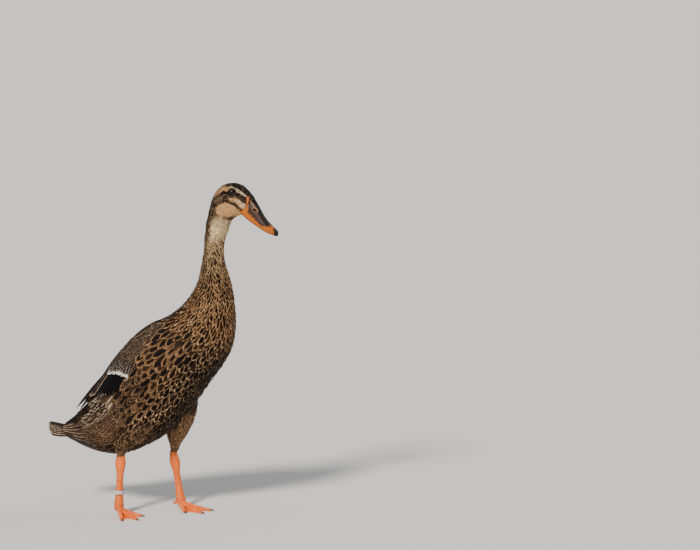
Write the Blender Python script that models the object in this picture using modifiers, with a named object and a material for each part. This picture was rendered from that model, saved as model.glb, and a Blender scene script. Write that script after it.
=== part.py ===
"""A female Indian runner duck of mallard colouring, life size, standing still with one foot forward.

The duck heads along +X, +Z is up, and the floor is z = 0. Sizes are in metres, from lengths written in
millimetres. The right side of the duck is -Y. The head is turned a little to the right.
"""

import math

import bmesh
import bpy
from mathutils import Matrix, Vector

MM = 0.001
# The thin gap between pieces that meet, and how far a fitted piece is swollen to cut its own room.
GAP = 0.3 * MM
CLEARANCE = 1.6 * GAP

# Feathered body, from the top of the neck down to the root of the tail. Each station is its place
# forward, its height, half its depth from back to belly, half its width, and how far its depth leans up.
BODY_STATIONS = (
    (113, 440, 17, 15, -8),
    (110.8, 430, 18.3, 16.4, -8),
    (107.6, 418, 16.0, 15.0, -3),
    (106.5, 404, 15.6, 14.4, 2),
    (106, 386, 18.0, 16.6, 6),
    (108, 357, 25.8, 24, 8),
    (104, 329, 34.6, 32, 10),
    (96, 302, 45.5, 40, 19),
    (82, 279, 56, 47.5, 22),
    (62, 258, 63.5, 53, 25),
    (38, 233, 67.5, 56.5, 27),
    (12, 200, 69, 57.5, 31),
    (-15, 167, 65.5, 56, 35),
    (-44, 140, 56.5, 51, 43),
    (-76.5, 121.5, 45.8, 42, 54),
    (-104.5, 117, 29.4, 30, 62),
    (-124.5, 118.5, 14.4, 19, 66),
    (-134, 119, 8.5, 13, 70),
)
BODY_SIDES = 28
LIMB_SIDES = 16
WING_SIDES = 12
SHANK_SIDES = 12
TOE_SIDES = 10
BILL_ARCH_SIDES = 12
STEPS_BETWEEN = 3

# Head, from the top of the neck round to the root of the bill: each ring's point on the nape or crown,
# its point on the throat or chin, and half its width.
HEAD_STATIONS = (
    (93, 436, 130, 434, 16.5),
    (95.5, 448, 131, 440, 17),
    (99, 459.5, 133.5, 445.5, 17.3),
    (102, 471, 135.5, 449.8, 17.8),
    (106, 482.5, 138.5, 452.6, 18.3),
    (112, 492.8, 142.5, 454.5, 18.7),
    (120.5, 501, 145, 456.3, 18.8),
    (131, 506, 148, 457.6, 18.4),
    (142, 507.6, 151, 458.6, 17.7),
    (152.5, 506.3, 154, 459.4, 16.4),
    (162, 501.5, 157, 460.2, 14.4),
    (171, 493.5, 161, 461, 12.6),
    (178.5, 485.5, 165.5, 462.5, 11.2),
    (183.5, 477.5, 170.5, 464.5, 9.5),
)
CHEEK_FULLNESS = 0.16
HEAD_TURN = math.radians(-10)
NECK_AXIS = Vector((107, 0, 0)) * MM
TURN_FROM, TURN_TO = 400 * MM, 455 * MM

EYE_PLACE = (146, 10.9, 494.5)
EYE_RADIUS = 5.6 * MM

# Bill, measured along its own axis from the corner of the mouth.
GAPE = (163.4, 462)
BILL_PITCH = math.radians(-38)
# Forward, half width, height of the ridge, height of the cutting edge, and how boxy the arch is.
UPPER_BILL = (
    (-5, 10.6, 25.6, 0.6, 1.0),
    (4, 10.6, 25.0, 0.6, 1.0),
    (14, 10.2, 21.8, 1.6, 0.95),
    (25, 9.8, 17.8, 2.8, 0.85),
    (35, 10.3, 15.4, 3.7, 0.75),
    (43, 10.9, 14.2, 4.6, 0.7),
    (50, 10.2, 13.2, 5.6, 0.7),
    (54.5, 7.4, 12.0, 6.2, 0.75),
    (57, 3.4, 10.2, 6.8, 0.8),
)
LOWER_BILL = (
    (-5, 9.4, -0.3, -3.8),
    (10, 9.2, 0.3, -3.2),
    (25, 8.8, 2.0, -1.4),
    (38, 9.1, 3.1, 0.4),
    (47, 8.6, 4.3, 2.0),
    (52.5, 5.6, 5.1, 3.6),
)

# Folded wing on the left, which the right one mirrors: body station, angle round from the back, half the
# chord, half the thickness, and how far the middle stands out from the body's surface.
WING_STATIONS = (
    (7.2, 70, 7, 3.5, -6),
    (8.0, 58, 18, 6.5, -6),
    (9.0, 46, 25, 8, -6),
    (10.2, 38, 27.5, 8.5, -6),
    (11.4, 36, 26, 8, -5.5),
    (12.6, 34, 22, 6.5, -4),
    (13.6, 29, 15, 4.0, 0.3),
    (14.5, 23, 8.5, 2.2, 4.2),
)
WING_TIP = (-118, 8, 149, 2.6, 0.9)

# Legs. Each is the place of the hock, the place of the ankle, the way the foot points and the thigh above.
HOCK_RIGHT, ANKLE_RIGHT, FOOT_YAW_RIGHT = (-31.5, -38, 79), (-34.5, -38, 19), -38
HOCK_LEFT, ANKLE_LEFT, FOOT_YAW_LEFT = (26, 36.5, 72), (35, 36.5, 17), -32
THIGH_RIGHT = (
    (6, -24, 178, 28),
    (0, -27, 157, 27),
    (-8, -32, 138, 24),
    (-20, -37, 114, 18),
    (-29.5, -38, 98, 9.5),
    (-31.3, -38, 90, 7.2),
)
THIGH_LEFT = (
    (36, 24, 186, 30),
    (38, 27, 163, 29),
    (37, 32, 144, 24.5),
    (30, 36.5, 116, 17.5),
    (26.5, 36.5, 98, 8.6),
    (26.3, 36.5, 88, 7.2),
)
# Share of the way down from hock to ankle, half depth, half width.
SHANK_STATIONS = (
    (-0.28, 5.2, 4.8),
    (-0.12, 6.8, 6.0),
    (0.0, 8.2, 7.0),
    (0.12, 7.2, 6.0),
    (0.28, 5.4, 4.7),
    (0.6, 5.1, 4.3),
    (0.85, 5.9, 5.0),
    (1.0, 7.2, 6.6),
    (1.12, 7.4, 7.2),
    (1.22, 5.6, 5.6),
)
SHANK_CUT_ABOVE_ANKLE = 4

# Toes: angle from the middle toe towards the outside of the foot, length, radius at the root, at the tip.
TOES = (
    ("inner", -26, 41, 3.7, 2.3),
    ("middle", 0, 55, 4.0, 2.3),
    ("outer", 24, 52, 3.7, 2.3),
)
TOE_ROOT_HEIGHT, TOE_TIP_HEIGHT = 9.5, 2.0
TOE_JOINTS, TOE_SWELL = 3, 0.10
WEB_THICKNESS = 1.6
WEB_REACH = 0.88
WEB_SCALLOP = 0.80
HIND_TOE = ((-2, 0, 11, 2.8), (-9, 2, 8.5, 2.4), (-15, 3, 5.2, 1.7))
CLAW_LENGTH, CLAW_RADIUS = 6.5, 1.7

BAND_HEIGHT, BAND_OUTER, BAND_INNER = 6.0, 8.2, 6.9
BAND_SIDES = 24
BAND_SHARE = 0.74

# Tail fan: distance behind its root, half width, height of its ridge, half thickness, drop of its sides.
TAIL_ROOT = (-120, 118)
TAIL_STATIONS = (
    (-6, 12, 0, 5.0, 2),
    (6, 16, 0.5, 3.6, 4),
    (20, 21, 1.5, 2.2, 6),
    (34, 25, 2.5, 1.2, 8),
    (43, 21, 3.0, 0.6, 7),
)

# Planes that part the body: a point on the plane and the slope of the plane's normal from level.
BILL_CUT = ((160.5, 463), -47)
HEAD_CUT = ((112, 453), 76)
NECK_CUT = ((107, 402), 90)
BREAST_CUT = ((108, 345), 84)
TRUNK_CUT = ((66, 263), 62)
RUMP_CUT = ((-70, 124), 26)

# How finely the pieces are grown together, how often the result is softened and its triangles after.
BODY_GROWTH = (2.6 * MM, 8, 2450)
FOOT_GROWTH = (0.7 * MM, 3, 700)


def clear_scene():
    for old in list(bpy.data.objects):
        bpy.data.objects.remove(old)


def new_collection(name, hidden=False):
    made = bpy.data.collections.new(name)
    made.hide_render = hidden
    bpy.context.scene.collection.children.link(made)
    return made


def finish_material(name, colour, roughness, metallic=0.0):
    made = bpy.data.materials.new(name)
    made.use_nodes = True
    shader = made.node_tree.nodes["Principled BSDF"]
    shader.inputs["Base Color"].default_value = (*colour, 1)
    shader.inputs["Roughness"].default_value = roughness
    shader.inputs["Metallic"].default_value = metallic
    return made


def new_object(name, mesh, collection):
    made = bpy.data.objects.new(name, mesh)
    collection.objects.link(made)
    return made


def as_mesh(name, bm, collection):
    """Turns bmesh geometry into an object with its faces pointing out."""
    bmesh.ops.recalc_face_normals(bm, faces=bm.faces)
    mesh = bpy.data.meshes.new(name)
    bm.to_mesh(mesh)
    bm.free()
    return new_object(name, mesh, collection)


def loft(name, rings, collection):
    """A closed skin through rings of points that all have the same count."""
    bm = bmesh.new()
    rows = [[bm.verts.new(p) for p in ring] for ring in rings]
    count = len(rows[0])
    for low, high in zip(rows, rows[1:]):
        for i in range(count):
            j = (i + 1) % count
            bm.faces.new((low[i], low[j], high[j], high[i]))
    bm.faces.new(rows[0])
    bm.faces.new(rows[-1])
    bmesh.ops.triangulate(bm, faces=bm.faces)
    return as_mesh(name, bm, collection)


def through(stations, steps):
    """More stations on a smooth curve through the given ones, by the Catmull-Rom rule."""
    last = len(stations) - 1
    for i in range(last):
        a, b, c, d = (stations[min(max(k, 0), last)] for k in (i - 1, i, i + 1, i + 2))
        for step in range(steps):
            t = step / steps
            yield tuple(
                0.5 * (2 * q + (r - p) * t + (2 * p - 5 * q + 4 * r - s) * t * t
                       + (3 * q - p - 3 * r + s) * t ** 3)
                for p, q, r, s in zip(a, b, c, d)
            )
    yield tuple(float(v) for v in stations[-1])


def station_at(stations, place):
    """The station a fractional count along the list, between its two neighbours."""
    i = min(int(place), len(stations) - 2)
    t = place - i
    return tuple(p + (q - p) * t for p, q in zip(stations[i], stations[i + 1]))


def turned_with_head(point):
    """The place of a point once the head is turned about the neck, which twists between two heights."""
    share = min(max((point.z - TURN_FROM) / (TURN_TO - TURN_FROM), 0), 1)
    turn = Matrix.Rotation(HEAD_TURN * share * share * (3 - 2 * share), 3, "Z")
    return turn @ (point - NECK_AXIS) + NECK_AXIS


def back_direction(lean):
    return Vector((-math.cos(math.radians(lean)), 0, math.sin(math.radians(lean))))


def body_ring(station):
    x, z, depth, width, lean = station
    centre = Vector((x, 0, z))
    up = back_direction(lean)
    ring = []
    for i in range(BODY_SIDES):
        t = 2 * math.pi * i / BODY_SIDES
        offset = up * (depth * math.cos(t)) + Vector((0, width * math.sin(t), 0))
        ring.append(turned_with_head((centre + offset) * MM))
    return ring


def head_ring(station):
    top = Vector((station[0], 0, station[1]))
    bottom = Vector((station[2], 0, station[3]))
    centre = (top + bottom) / 2
    half = (top - bottom) / 2
    ring = []
    for i in range(BODY_SIDES):
        t = 2 * math.pi * i / BODY_SIDES
        width = station[4] * math.sin(t) * (1 - CHEEK_FULLNESS * math.cos(t))
        ring.append(turned_with_head((centre + half * math.cos(t) + Vector((0, width, 0))) * MM))
    return ring


def round_ring(centre, across, side, sides=LIMB_SIDES):
    return [
        centre + across * math.cos(2 * math.pi * i / sides) + side * math.sin(2 * math.pi * i / sides)
        for i in range(sides)
    ]


def thigh(name, stations, collection):
    rings = []
    for x, y, z, radius in through(stations, STEPS_BETWEEN):
        across = Vector((radius * MM, 0, 0))
        rings.append(round_ring(Vector((x, y, z)) * MM, across, Vector((0, radius * MM, 0))))
    return loft(name, rings, collection)


def bill_point(forward, side, rise):
    along = Vector((math.cos(BILL_PITCH), 0, math.sin(BILL_PITCH)))
    up = Vector((-math.sin(BILL_PITCH), 0, math.cos(BILL_PITCH)))
    place = Vector((GAPE[0], 0, GAPE[1])) + along * forward + up * rise
    return turned_with_head((place + Vector((0, side, 0))) * MM)


def upper_bill(collection):
    rings = []
    for forward, width, ridge, edge, boxy in through(UPPER_BILL, 2):
        ring = []
        for i in range(BILL_ARCH_SIDES + 1):
            t = math.pi * i / BILL_ARCH_SIDES
            arch = abs(math.sin(t)) ** boxy
            ring.append(bill_point(forward, width * math.cos(t), edge + (ridge - edge) * arch))
        ring += [bill_point(forward, width * k, edge - 0.1) for k in (-0.7, 0, 0.7)]
        rings.append(ring)
    return loft("bill_upper", rings, collection)


def lower_bill(collection):
    rings = []
    for forward, width, edge, keel in through(LOWER_BILL, 2):
        ring = [bill_point(forward, width * k, edge) for k in (0.7, 0, -0.7)]
        for i in range(9):
            t = math.pi * i / 8
            drop = (keel - edge) * abs(math.sin(t)) ** 0.7
            ring.append(bill_point(forward, -width * math.cos(t), edge + drop))
        rings.append(ring)
    return loft("bill_lower", rings, collection)


def eye(name, side, collection):
    bm = bmesh.new()
    bmesh.ops.create_uvsphere(bm, u_segments=14, v_segments=8, radius=EYE_RADIUS)
    x, y, z = EYE_PLACE
    place = turned_with_head(Vector((x, side * y, z)) * MM)
    bmesh.ops.translate(bm, verts=bm.verts, vec=place)
    return as_mesh(name, bm, collection)


def wing(name, side, collection):
    """A folded wing as a lens that lies along the body, from under the breast feathers to its tip."""
    rows = []
    for place, angle, chord, thick, out in WING_STATIONS:
        x, z, depth, width, lean = station_at(BODY_STATIONS, place)
        t = math.radians(angle)
        up = back_direction(lean)
        outward = (up * (math.cos(t) / depth) + Vector((0, side * math.sin(t) / width, 0))).normalized()
        centre = Vector((x, 0, z)) + up * (depth * math.cos(t)) + Vector((0, side * width * math.sin(t), 0))
        rows.append((centre + outward * out, outward, chord, thick))
    x, y, z, chord, thick = WING_TIP
    rows.append((Vector((x, side * y, z)), rows[-1][1], chord, thick))
    stations = [(*c, *o, w, h) for c, o, w, h in rows]
    fine = [(Vector(s[:3]), Vector(s[3:6]).normalized(), s[6], s[7]) for s in through(stations, 2)]
    rings = []
    for i, (centre, outward, chord, thick) in enumerate(fine):
        ahead = fine[min(i + 1, len(fine) - 1)][0] - fine[max(i - 1, 0)][0]
        across = outward.cross(ahead).normalized()
        outward = ahead.cross(across).normalized()
        rings.append(round_ring(centre * MM, across * chord * MM, outward * thick * MM, WING_SIDES))
    return loft(name, rings, collection)


def shank(name, hock, ankle, collection):
    """The scaly leg from inside the thigh feathers to the ankle, cut level just above the foot."""
    hock, ankle = Vector(hock), Vector(ankle)
    rings = []
    for share, depth, width in through(SHANK_STATIONS, 2):
        centre = hock + (ankle - hock) * share
        across, side = Vector((depth * MM, 0, 0)), Vector((0, width * MM, 0))
        rings.append(round_ring(centre * MM, across, side, SHANK_SIDES))
    return loft(name, rings, collection)


def toe_path(length, count):
    """Distance along a toe, height of its middle and share of the way, easing down to the floor."""
    for i in range(count + 1):
        t = i / count
        ease = (1 - t) ** 1.6
        yield length * t, TOE_TIP_HEIGHT + (TOE_ROOT_HEIGHT - TOE_TIP_HEIGHT) * ease, t


def toe(name, place, length, root, tip, collection):
    """One toe: a tapering rod that swells at its joints and follows the floor."""
    rings = []
    for along, height, t in toe_path(length, 4 * TOE_JOINTS):
        swell = 1 + TOE_SWELL * math.cos(2 * math.pi * TOE_JOINTS * t)
        radius = (root + (tip - root) * t) * swell * MM
        centre = place @ (Vector((along, 0, height)) * MM)
        side = place.to_3x3() @ Vector((0, radius, 0))
        rings.append(round_ring(centre, side, Vector((0, 0, radius)), TOE_SIDES))
    return loft(name, rings, collection)


def web(name, place, first, second, collection):
    """The skin between two toes, hollowed along its outer edge. It starts below the floor, to be cut level."""
    bm = bmesh.new()
    edge = []
    for i in range(9):
        t = i / 8
        angle = math.radians(first[1] + (second[1] - first[1]) * t)
        length = (first[2] + (second[2] - first[2]) * t) * WEB_REACH
        length *= 1 - (1 - WEB_SCALLOP) * math.sin(math.pi * t)
        edge.append(Vector((length * math.cos(angle), length * math.sin(angle), -1)))
    outline = [Vector((-2, 0, -1)), *edge]
    face = bm.faces.new([bm.verts.new(place @ (p * MM)) for p in outline])
    lifted = bmesh.ops.extrude_face_region(bm, geom=[face])
    raised = [v for v in lifted["geom"] if isinstance(v, bmesh.types.BMVert)]
    bmesh.ops.translate(bm, verts=raised, vec=Vector((0, 0, (1 + WEB_THICKNESS) * MM)))
    return as_mesh(name, bm, collection)


def claw(name, place, length, collection):
    bm = bmesh.new()
    bmesh.ops.create_cone(bm, cap_ends=True, segments=8, radius1=CLAW_RADIUS * MM, radius2=0.35 * MM,
                          depth=CLAW_LENGTH * MM)
    lie_along = Matrix.Rotation(math.radians(96), 4, "Y")
    start = Matrix.Translation(Vector((length + CLAW_LENGTH / 2 + 0.35, 0, TOE_TIP_HEIGHT + 0.1)) * MM)
    bmesh.ops.transform(bm, matrix=place @ start @ lie_along, verts=bm.verts)
    return as_mesh(name, bm, collection)


def take_result(made):
    """Replaces the mesh by what its modifiers make of it."""
    graph = bpy.context.evaluated_depsgraph_get()
    result = bpy.data.meshes.new_from_object(made.evaluated_get(graph))
    made.modifiers.clear()
    made.data = result


def boolean(target, other, operation):
    """Joins, cuts or keeps what two closed meshes share, and puts the result in the target."""
    modifier = target.modifiers.new(operation, "BOOLEAN")
    modifier.operation = operation
    modifier.object = other
    take_result(target)


def cut_clear(target, other):
    """Cuts the room for another piece out of the target, with a thin gap all round."""
    grown = other.copy()
    grown.data = other.data.copy()
    bpy.context.scene.collection.objects.link(grown)
    swell = grown.modifiers.new("clearance", "DISPLACE")
    swell.strength = CLEARANCE
    swell.mid_level = 0
    take_result(grown)
    boolean(target, grown, "DIFFERENCE")
    bpy.data.objects.remove(grown)


def block_beyond(point, slope, sign, with_head=False):
    """A large block that fills one side of a parting plane, turned with the head where asked."""
    normal = Vector((math.cos(math.radians(slope)), 0, math.sin(math.radians(slope))))
    size = 1.0
    bm = bmesh.new()
    bmesh.ops.create_cube(bm, size=size)
    place = Vector((point[0], 0, point[1])) * MM + normal * sign * (size + GAP) / 2
    turn = Matrix.Rotation(-math.radians(slope), 4, "Y")
    bmesh.ops.transform(bm, matrix=Matrix.Translation(place) @ turn, verts=bm.verts)
    if with_head:
        bmesh.ops.rotate(bm, cent=NECK_AXIS, matrix=Matrix.Rotation(HEAD_TURN, 3, "Z"), verts=bm.verts)
    return as_mesh("block", bm, bpy.context.scene.collection)


def keep_side(target, plane, sign, with_head=False):
    block = block_beyond(*plane, sign, with_head)
    boolean(target, block, "INTERSECT")
    bpy.data.objects.remove(block)


def duplicate(source, name, collection):
    return new_object(name, source.data.copy(), collection)


def foot(side_name, outer_sign, ankle, yaw, leg, parts, helpers):
    """Toes and webs grown together with the foot end of the leg, flat where they stand on the floor."""
    x, y, _ = ankle
    frame = Matrix.Translation(Vector((x, y, 0)) * MM) @ Matrix.Rotation(math.radians(yaw), 4, "Z")
    mirror = frame @ Matrix.Scale(-outer_sign, 4, Vector((0, 1, 0)))
    end = duplicate(leg, "end", helpers)
    cut = ((x, ankle[2] + SHANK_CUT_ABOVE_ANKLE), 90)
    keep_side(end, cut, -1)
    pieces = [end]
    for label, angle, length, root, tip in TOES:
        place = frame @ Matrix.Rotation(math.radians(-outer_sign * angle), 4, "Z")
        pieces.append(toe("toe", place, length, root, tip, helpers))
        claw("claw_" + side_name + "_" + label, place, length, parts)
    for first, second in zip(TOES, TOES[1:]):
        pieces.append(web("web", mirror, first, second, helpers))
    rings = []
    for back, off, height, radius in through(HIND_TOE, 2):
        centre = mirror @ (Vector((back, -off, height)) * MM)
        rings.append(round_ring(centre, Vector((0, radius * MM, 0)), Vector((0, 0, radius * MM)), 8))
    pieces.append(loft("hind", rings, helpers))
    made = grown_together("foot_" + side_name, pieces, FOOT_GROWTH, parts)
    keep_side(made, ((x, -GAP / MM / 2), 90), 1)
    keep_side(made, cut, -1)
    keep_side(leg, cut, 1)


def leg_band(collection):
    """A plain ring round the right leg."""
    hock, ankle = Vector(HOCK_RIGHT), Vector(ANKLE_RIGHT)
    centre = hock + (ankle - hock) * BAND_SHARE
    outline = ((BAND_OUTER, 0.5), (BAND_OUTER, -0.5), (BAND_INNER, -0.5), (BAND_INNER, 0.5))
    rings = []
    for i in range(BAND_SIDES):
        t = 2 * math.pi * i / BAND_SIDES
        out = Vector((math.cos(t), math.sin(t), 0))
        rings.append([(centre + out * r + Vector((0, 0, h * BAND_HEIGHT))) * MM for r, h in outline])
    bm = bmesh.new()
    rows = [[bm.verts.new(p) for p in ring] for ring in rings]
    for i, row in enumerate(rows):
        after = rows[(i + 1) % len(rows)]
        for j in range(4):
            bm.faces.new((row[j], row[(j + 1) % 4], after[(j + 1) % 4], after[j]))
    return as_mesh("leg_band", bm, collection)


def tail_fan(collection):
    """The closed fan of tail feathers: a thin plate, arched from side to side."""
    rings = []
    for back, width, rise, thick, drop in through(TAIL_STATIONS, 2):
        upper, under = [], []
        for i in range(9):
            k = i / 4 - 1
            round_end = back - 12 * k * k * max(back, 0) / 43
            x = TAIL_ROOT[0] - round_end
            z = TAIL_ROOT[1] + rise - drop * k * k
            edge = thick * (1 - 0.6 * k * k)
            upper.append(Vector((x, width * k, z + edge)) * MM)
            under.append(Vector((x, width * k, z - edge)) * MM)
        rings.append(upper + under[::-1])
    return loft("tail", rings, collection)


def grown_together(name, pieces, growth, collection):
    """Makes one soft closed form of closed pieces that overlap."""
    voxel, softening, triangles = growth
    bm = bmesh.new()
    for piece in pieces:
        bm.from_mesh(piece.data)
        bpy.data.objects.remove(piece)
    made = as_mesh(name, bm, collection)
    remesh = made.modifiers.new("even", "REMESH")
    remesh.mode = "VOXEL"
    remesh.voxel_size = voxel
    soften = made.modifiers.new("soften", "SMOOTH")
    soften.iterations = softening
    take_result(made)
    fewer = made.modifiers.new("fewer", "DECIMATE")
    fewer.ratio = triangles / (2 * len(made.data.polygons))
    take_result(made)
    return made


def whole_body(helpers):
    """Trunk, neck, head and thighs grown together."""
    return grown_together("body", [
        loft("body_form", [body_ring(s) for s in through(BODY_STATIONS, STEPS_BETWEEN)], helpers),
        loft("head_form", [head_ring(s) for s in through(HEAD_STATIONS, STEPS_BETWEEN)], helpers),
        thigh("thigh_form", THIGH_RIGHT, helpers),
        thigh("thigh_form", THIGH_LEFT, helpers),
    ], BODY_GROWTH, helpers)


def part_body(body, parts):
    """Parts the body with thin cuts into head, two lengths of neck, breast, trunk and rump."""
    spans = (
        ("head", None, HEAD_CUT),
        ("neck_upper", HEAD_CUT, NECK_CUT),
        ("neck_lower", NECK_CUT, BREAST_CUT),
        ("breast", BREAST_CUT, TRUNK_CUT),
        ("trunk", TRUNK_CUT, RUMP_CUT),
        ("rump", RUMP_CUT, None),
    )
    for name, above, below in spans:
        piece = duplicate(body, name, parts)
        if above:
            keep_side(piece, above, -1)
        if below:
            keep_side(piece, below, 1)
        if name == "head":
            keep_side(piece, BILL_CUT, -1, with_head=True)


def dress(parts):
    """Gives each piece the colour and finish of its part of the duck."""
    plumage = finish_material("plumage", (0.17, 0.11, 0.065), 0.75)
    wing_plumage = finish_material("wing plumage", (0.10, 0.075, 0.055), 0.6)
    horn = finish_material("bill horn", (0.62, 0.24, 0.06), 0.4)
    scales = finish_material("leg scales", (0.80, 0.22, 0.04), 0.5)
    claws = finish_material("claw", (0.09, 0.06, 0.045), 0.45)
    eyeball = finish_material("eye", (0.03, 0.018, 0.012), 0.08)
    plastic = finish_material("band plastic", (0.78, 0.78, 0.76), 0.4)
    by_start = (
        ("bill", horn), ("eye", eyeball), ("claw", claws), ("leg_band", plastic),
        ("shank", scales), ("foot", scales), ("wing", wing_plumage), ("tail", wing_plumage),
    )
    for piece in parts.objects:
        found = [m for start, m in by_start if piece.name.startswith(start)]
        piece.data.materials.clear()
        piece.data.materials.append(found[0] if found else plumage)
        piece.data.shade_smooth()
        piece.data.set_sharp_from_angle(angle=math.radians(40))


def settle(parts):
    """Puts the origin on the floor under the middle of the duck's outline."""
    corners = [v.co for piece in parts.objects for v in piece.data.vertices]
    middle = [(min(c[k] for c in corners) + max(c[k] for c in corners)) / 2 for k in (0, 1)]
    for piece in parts.objects:
        piece.data.transform(Matrix.Translation((-middle[0], -middle[1], 0)))


def main():
    clear_scene()
    parts = new_collection("indian_runner_duck")
    helpers = new_collection("forms", hidden=True)
    body = whole_body(helpers)
    for half in (upper_bill(parts), lower_bill(parts)):
        keep_side(half, BILL_CUT, 1, with_head=True)
    fitted = [
        wing("wing_left", 1, parts),
        wing("wing_right", -1, parts),
        eye("eye_left", 1, parts),
        eye("eye_right", -1, parts),
        tail_fan(parts),
    ]
    for side_name, outer_sign, hock, ankle, yaw in (
        ("right", 1, HOCK_RIGHT, ANKLE_RIGHT, FOOT_YAW_RIGHT),
        ("left", -1, HOCK_LEFT, ANKLE_LEFT, FOOT_YAW_LEFT),
    ):
        leg = shank("shank_" + side_name, hock, ankle, parts)
        foot(side_name, outer_sign, ankle, yaw, leg, parts, helpers)
        fitted.append(leg)
    for piece in fitted:
        cut_clear(body, piece)
    part_body(body, parts)
    bpy.data.objects.remove(body)
    leg_band(parts)
    dress(parts)
    settle(parts)


main()
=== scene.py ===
import math

import bmesh
import bpy
import numpy as np
from bpy.props import FloatProperty, FloatVectorProperty, IntProperty, PointerProperty
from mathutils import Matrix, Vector
from mathutils.bvhtree import BVHTree
from mathutils.kdtree import KDTree


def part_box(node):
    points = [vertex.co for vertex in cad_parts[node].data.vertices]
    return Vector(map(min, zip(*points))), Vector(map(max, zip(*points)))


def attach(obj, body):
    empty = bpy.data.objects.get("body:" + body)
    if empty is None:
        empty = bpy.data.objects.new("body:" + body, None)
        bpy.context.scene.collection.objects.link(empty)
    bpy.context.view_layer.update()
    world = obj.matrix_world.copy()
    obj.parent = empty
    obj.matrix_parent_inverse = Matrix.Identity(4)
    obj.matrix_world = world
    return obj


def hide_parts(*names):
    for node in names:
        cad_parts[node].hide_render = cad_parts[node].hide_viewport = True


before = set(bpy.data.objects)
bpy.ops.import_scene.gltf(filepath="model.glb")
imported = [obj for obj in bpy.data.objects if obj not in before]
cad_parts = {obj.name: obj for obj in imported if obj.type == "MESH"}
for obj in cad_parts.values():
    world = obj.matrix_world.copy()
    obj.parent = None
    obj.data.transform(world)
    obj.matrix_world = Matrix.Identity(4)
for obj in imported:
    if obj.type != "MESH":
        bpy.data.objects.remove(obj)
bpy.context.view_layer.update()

bl_info = {
    "name": "Runner Duck",
    "version": (1, 0, 0),
    "blender": (4, 5, 0),
    "location": "View3D > Sidebar > Runner Duck",
    "description": "Feathers, bill, eyes, legs and studio for a standing runner duck",
    "category": "Add Mesh",
}

MM = 0.001

# The duck's form in millimetres, as its solids were drawn, before it was moved over its origin.
# Head rings from the root of the bill back to the top of the neck: point on the crown, point on the
# throat, half width.
HEAD_RINGS = (
    (183.5, 477.5, 170.5, 464.5, 9.5),
    (178.5, 485.5, 165.5, 462.5, 11.2),
    (171, 493.5, 161, 461, 12.6),
    (162, 501.5, 157, 460.2, 14.4),
    (152.5, 506.3, 154, 459.4, 16.4),
    (142, 507.6, 151, 458.6, 17.7),
    (131, 506, 148, 457.6, 18.4),
    (120.5, 501, 145, 456.3, 18.8),
    (112, 492.8, 142.5, 454.5, 18.7),
    (106, 482.5, 138.5, 452.6, 18.3),
    (102, 471, 135.5, 449.8, 17.8),
    (99, 459.5, 133.5, 445.5, 17.3),
    (95.5, 448, 131, 440, 17),
    (93, 436, 130, 434, 16.5),
)
CHEEK_FULLNESS = 0.16
# Body rings down to the root of the tail: place, height, half depth, half width, lean of the depth.
BODY_RINGS = (
    (110.8, 430, 18.3, 16.4, -8),
    (107.6, 418, 16.0, 15.0, -3),
    (106.5, 404, 15.6, 14.4, 2),
    (106, 386, 18.0, 16.6, 6),
    (108, 357, 25.8, 24, 8),
    (104, 329, 34.6, 32, 10),
    (96, 302, 45.5, 40, 19),
    (82, 279, 56, 47.5, 22),
    (62, 258, 63.5, 53, 25),
    (38, 233, 67.5, 56.5, 27),
    (12, 200, 69, 57.5, 31),
    (-15, 167, 65.5, 56, 35),
    (-44, 140, 56.5, 51, 43),
    (-76.5, 121.5, 45.8, 42, 54),
    (-104.5, 117, 29.4, 30, 62),
    (-124.5, 118.5, 14.4, 19, 66),
    (-134, 119, 8.5, 13, 70),
)
# Where the body's rings begin in the row of all rings, less one. A body place is counted from here.
NECK_TOP = 13
# Places down a thigh: from where a point counts as on it, and from where its feathers are its own.
ON_LIMB, LIMB_FEATHERS = 0.99, 1.2
HEAD_TURN = math.radians(-10)
NECK_AXIS = (107.0, 0.0)
TURN_FROM, TURN_TO = 400.0, 455.0
EYE_PLACE = (146.0, 10.9, 494.5)
EYE_RADIUS = 5.6

# Thighs, as centre and radius down from the trunk to the bare leg.
THIGHS = (
    ((6, -24, 178, 28), (0, -27, 157, 27), (-8, -32, 138, 24), (-20, -37, 114, 18),
     (-29.5, -38, 98, 9.5), (-31.3, -38, 90, 7.2), (-31.5, -38, 70, 6)),
    ((36, 24, 186, 30), (38, 27, 163, 29), (37, 32, 144, 24.5), (30, 36.5, 116, 17.5),
     (26.5, 36.5, 98, 8.6), (26.3, 36.5, 88, 7.2), (28, 36.5, 66, 6)),
)

GAPE = (163.4, 462.0)
BILL_PITCH = math.radians(-38)

FLESH = ("head", "neck_upper", "neck_lower", "breast", "trunk", "rump", "wing_left", "wing_right")
LEG_PIECES = ("shank_right", "foot_right", "shank_left", "foot_left")

# What the operators hand on to each other.
made = {}


def tone(code):
    """A screen colour written as six hex digits, as the linear colour that materials use."""
    parts = np.array([int(code[i:i + 2], 16) for i in (0, 2, 4)]) / 255
    return np.where(parts < 0.04045, parts / 12.92, ((parts + 0.055) / 1.055) ** 2.4)


def ramp(values, points):
    """Straight-line steps through pairs of value and result."""
    return np.interp(values, [p[0] for p in points], [p[1] for p in points])


def smooth(values, low, high):
    """Eases from 0 at low to 1 at high."""
    share = np.clip((values - low) / (high - low), 0, 1)
    return share * share * (3 - 2 * share)


def blend(first, second, share):
    return first + (second - first) * np.asarray(share)[..., None]


def far(vectors):
    return np.linalg.norm(vectors, axis=-1)


def unit(vectors):
    return vectors / np.maximum(far(vectors), 1e-12)[..., None]


def dot(first, second):
    return np.sum(first * second, -1)


def levelled(vectors, normals):
    """Vectors without what they have along the normals."""
    return vectors - normals * dot(vectors, normals)[..., None]


def beside(*values):
    """Values side by side, each an array or one number for all rows."""
    return np.stack(np.broadcast_arrays(*values), -1)


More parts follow.
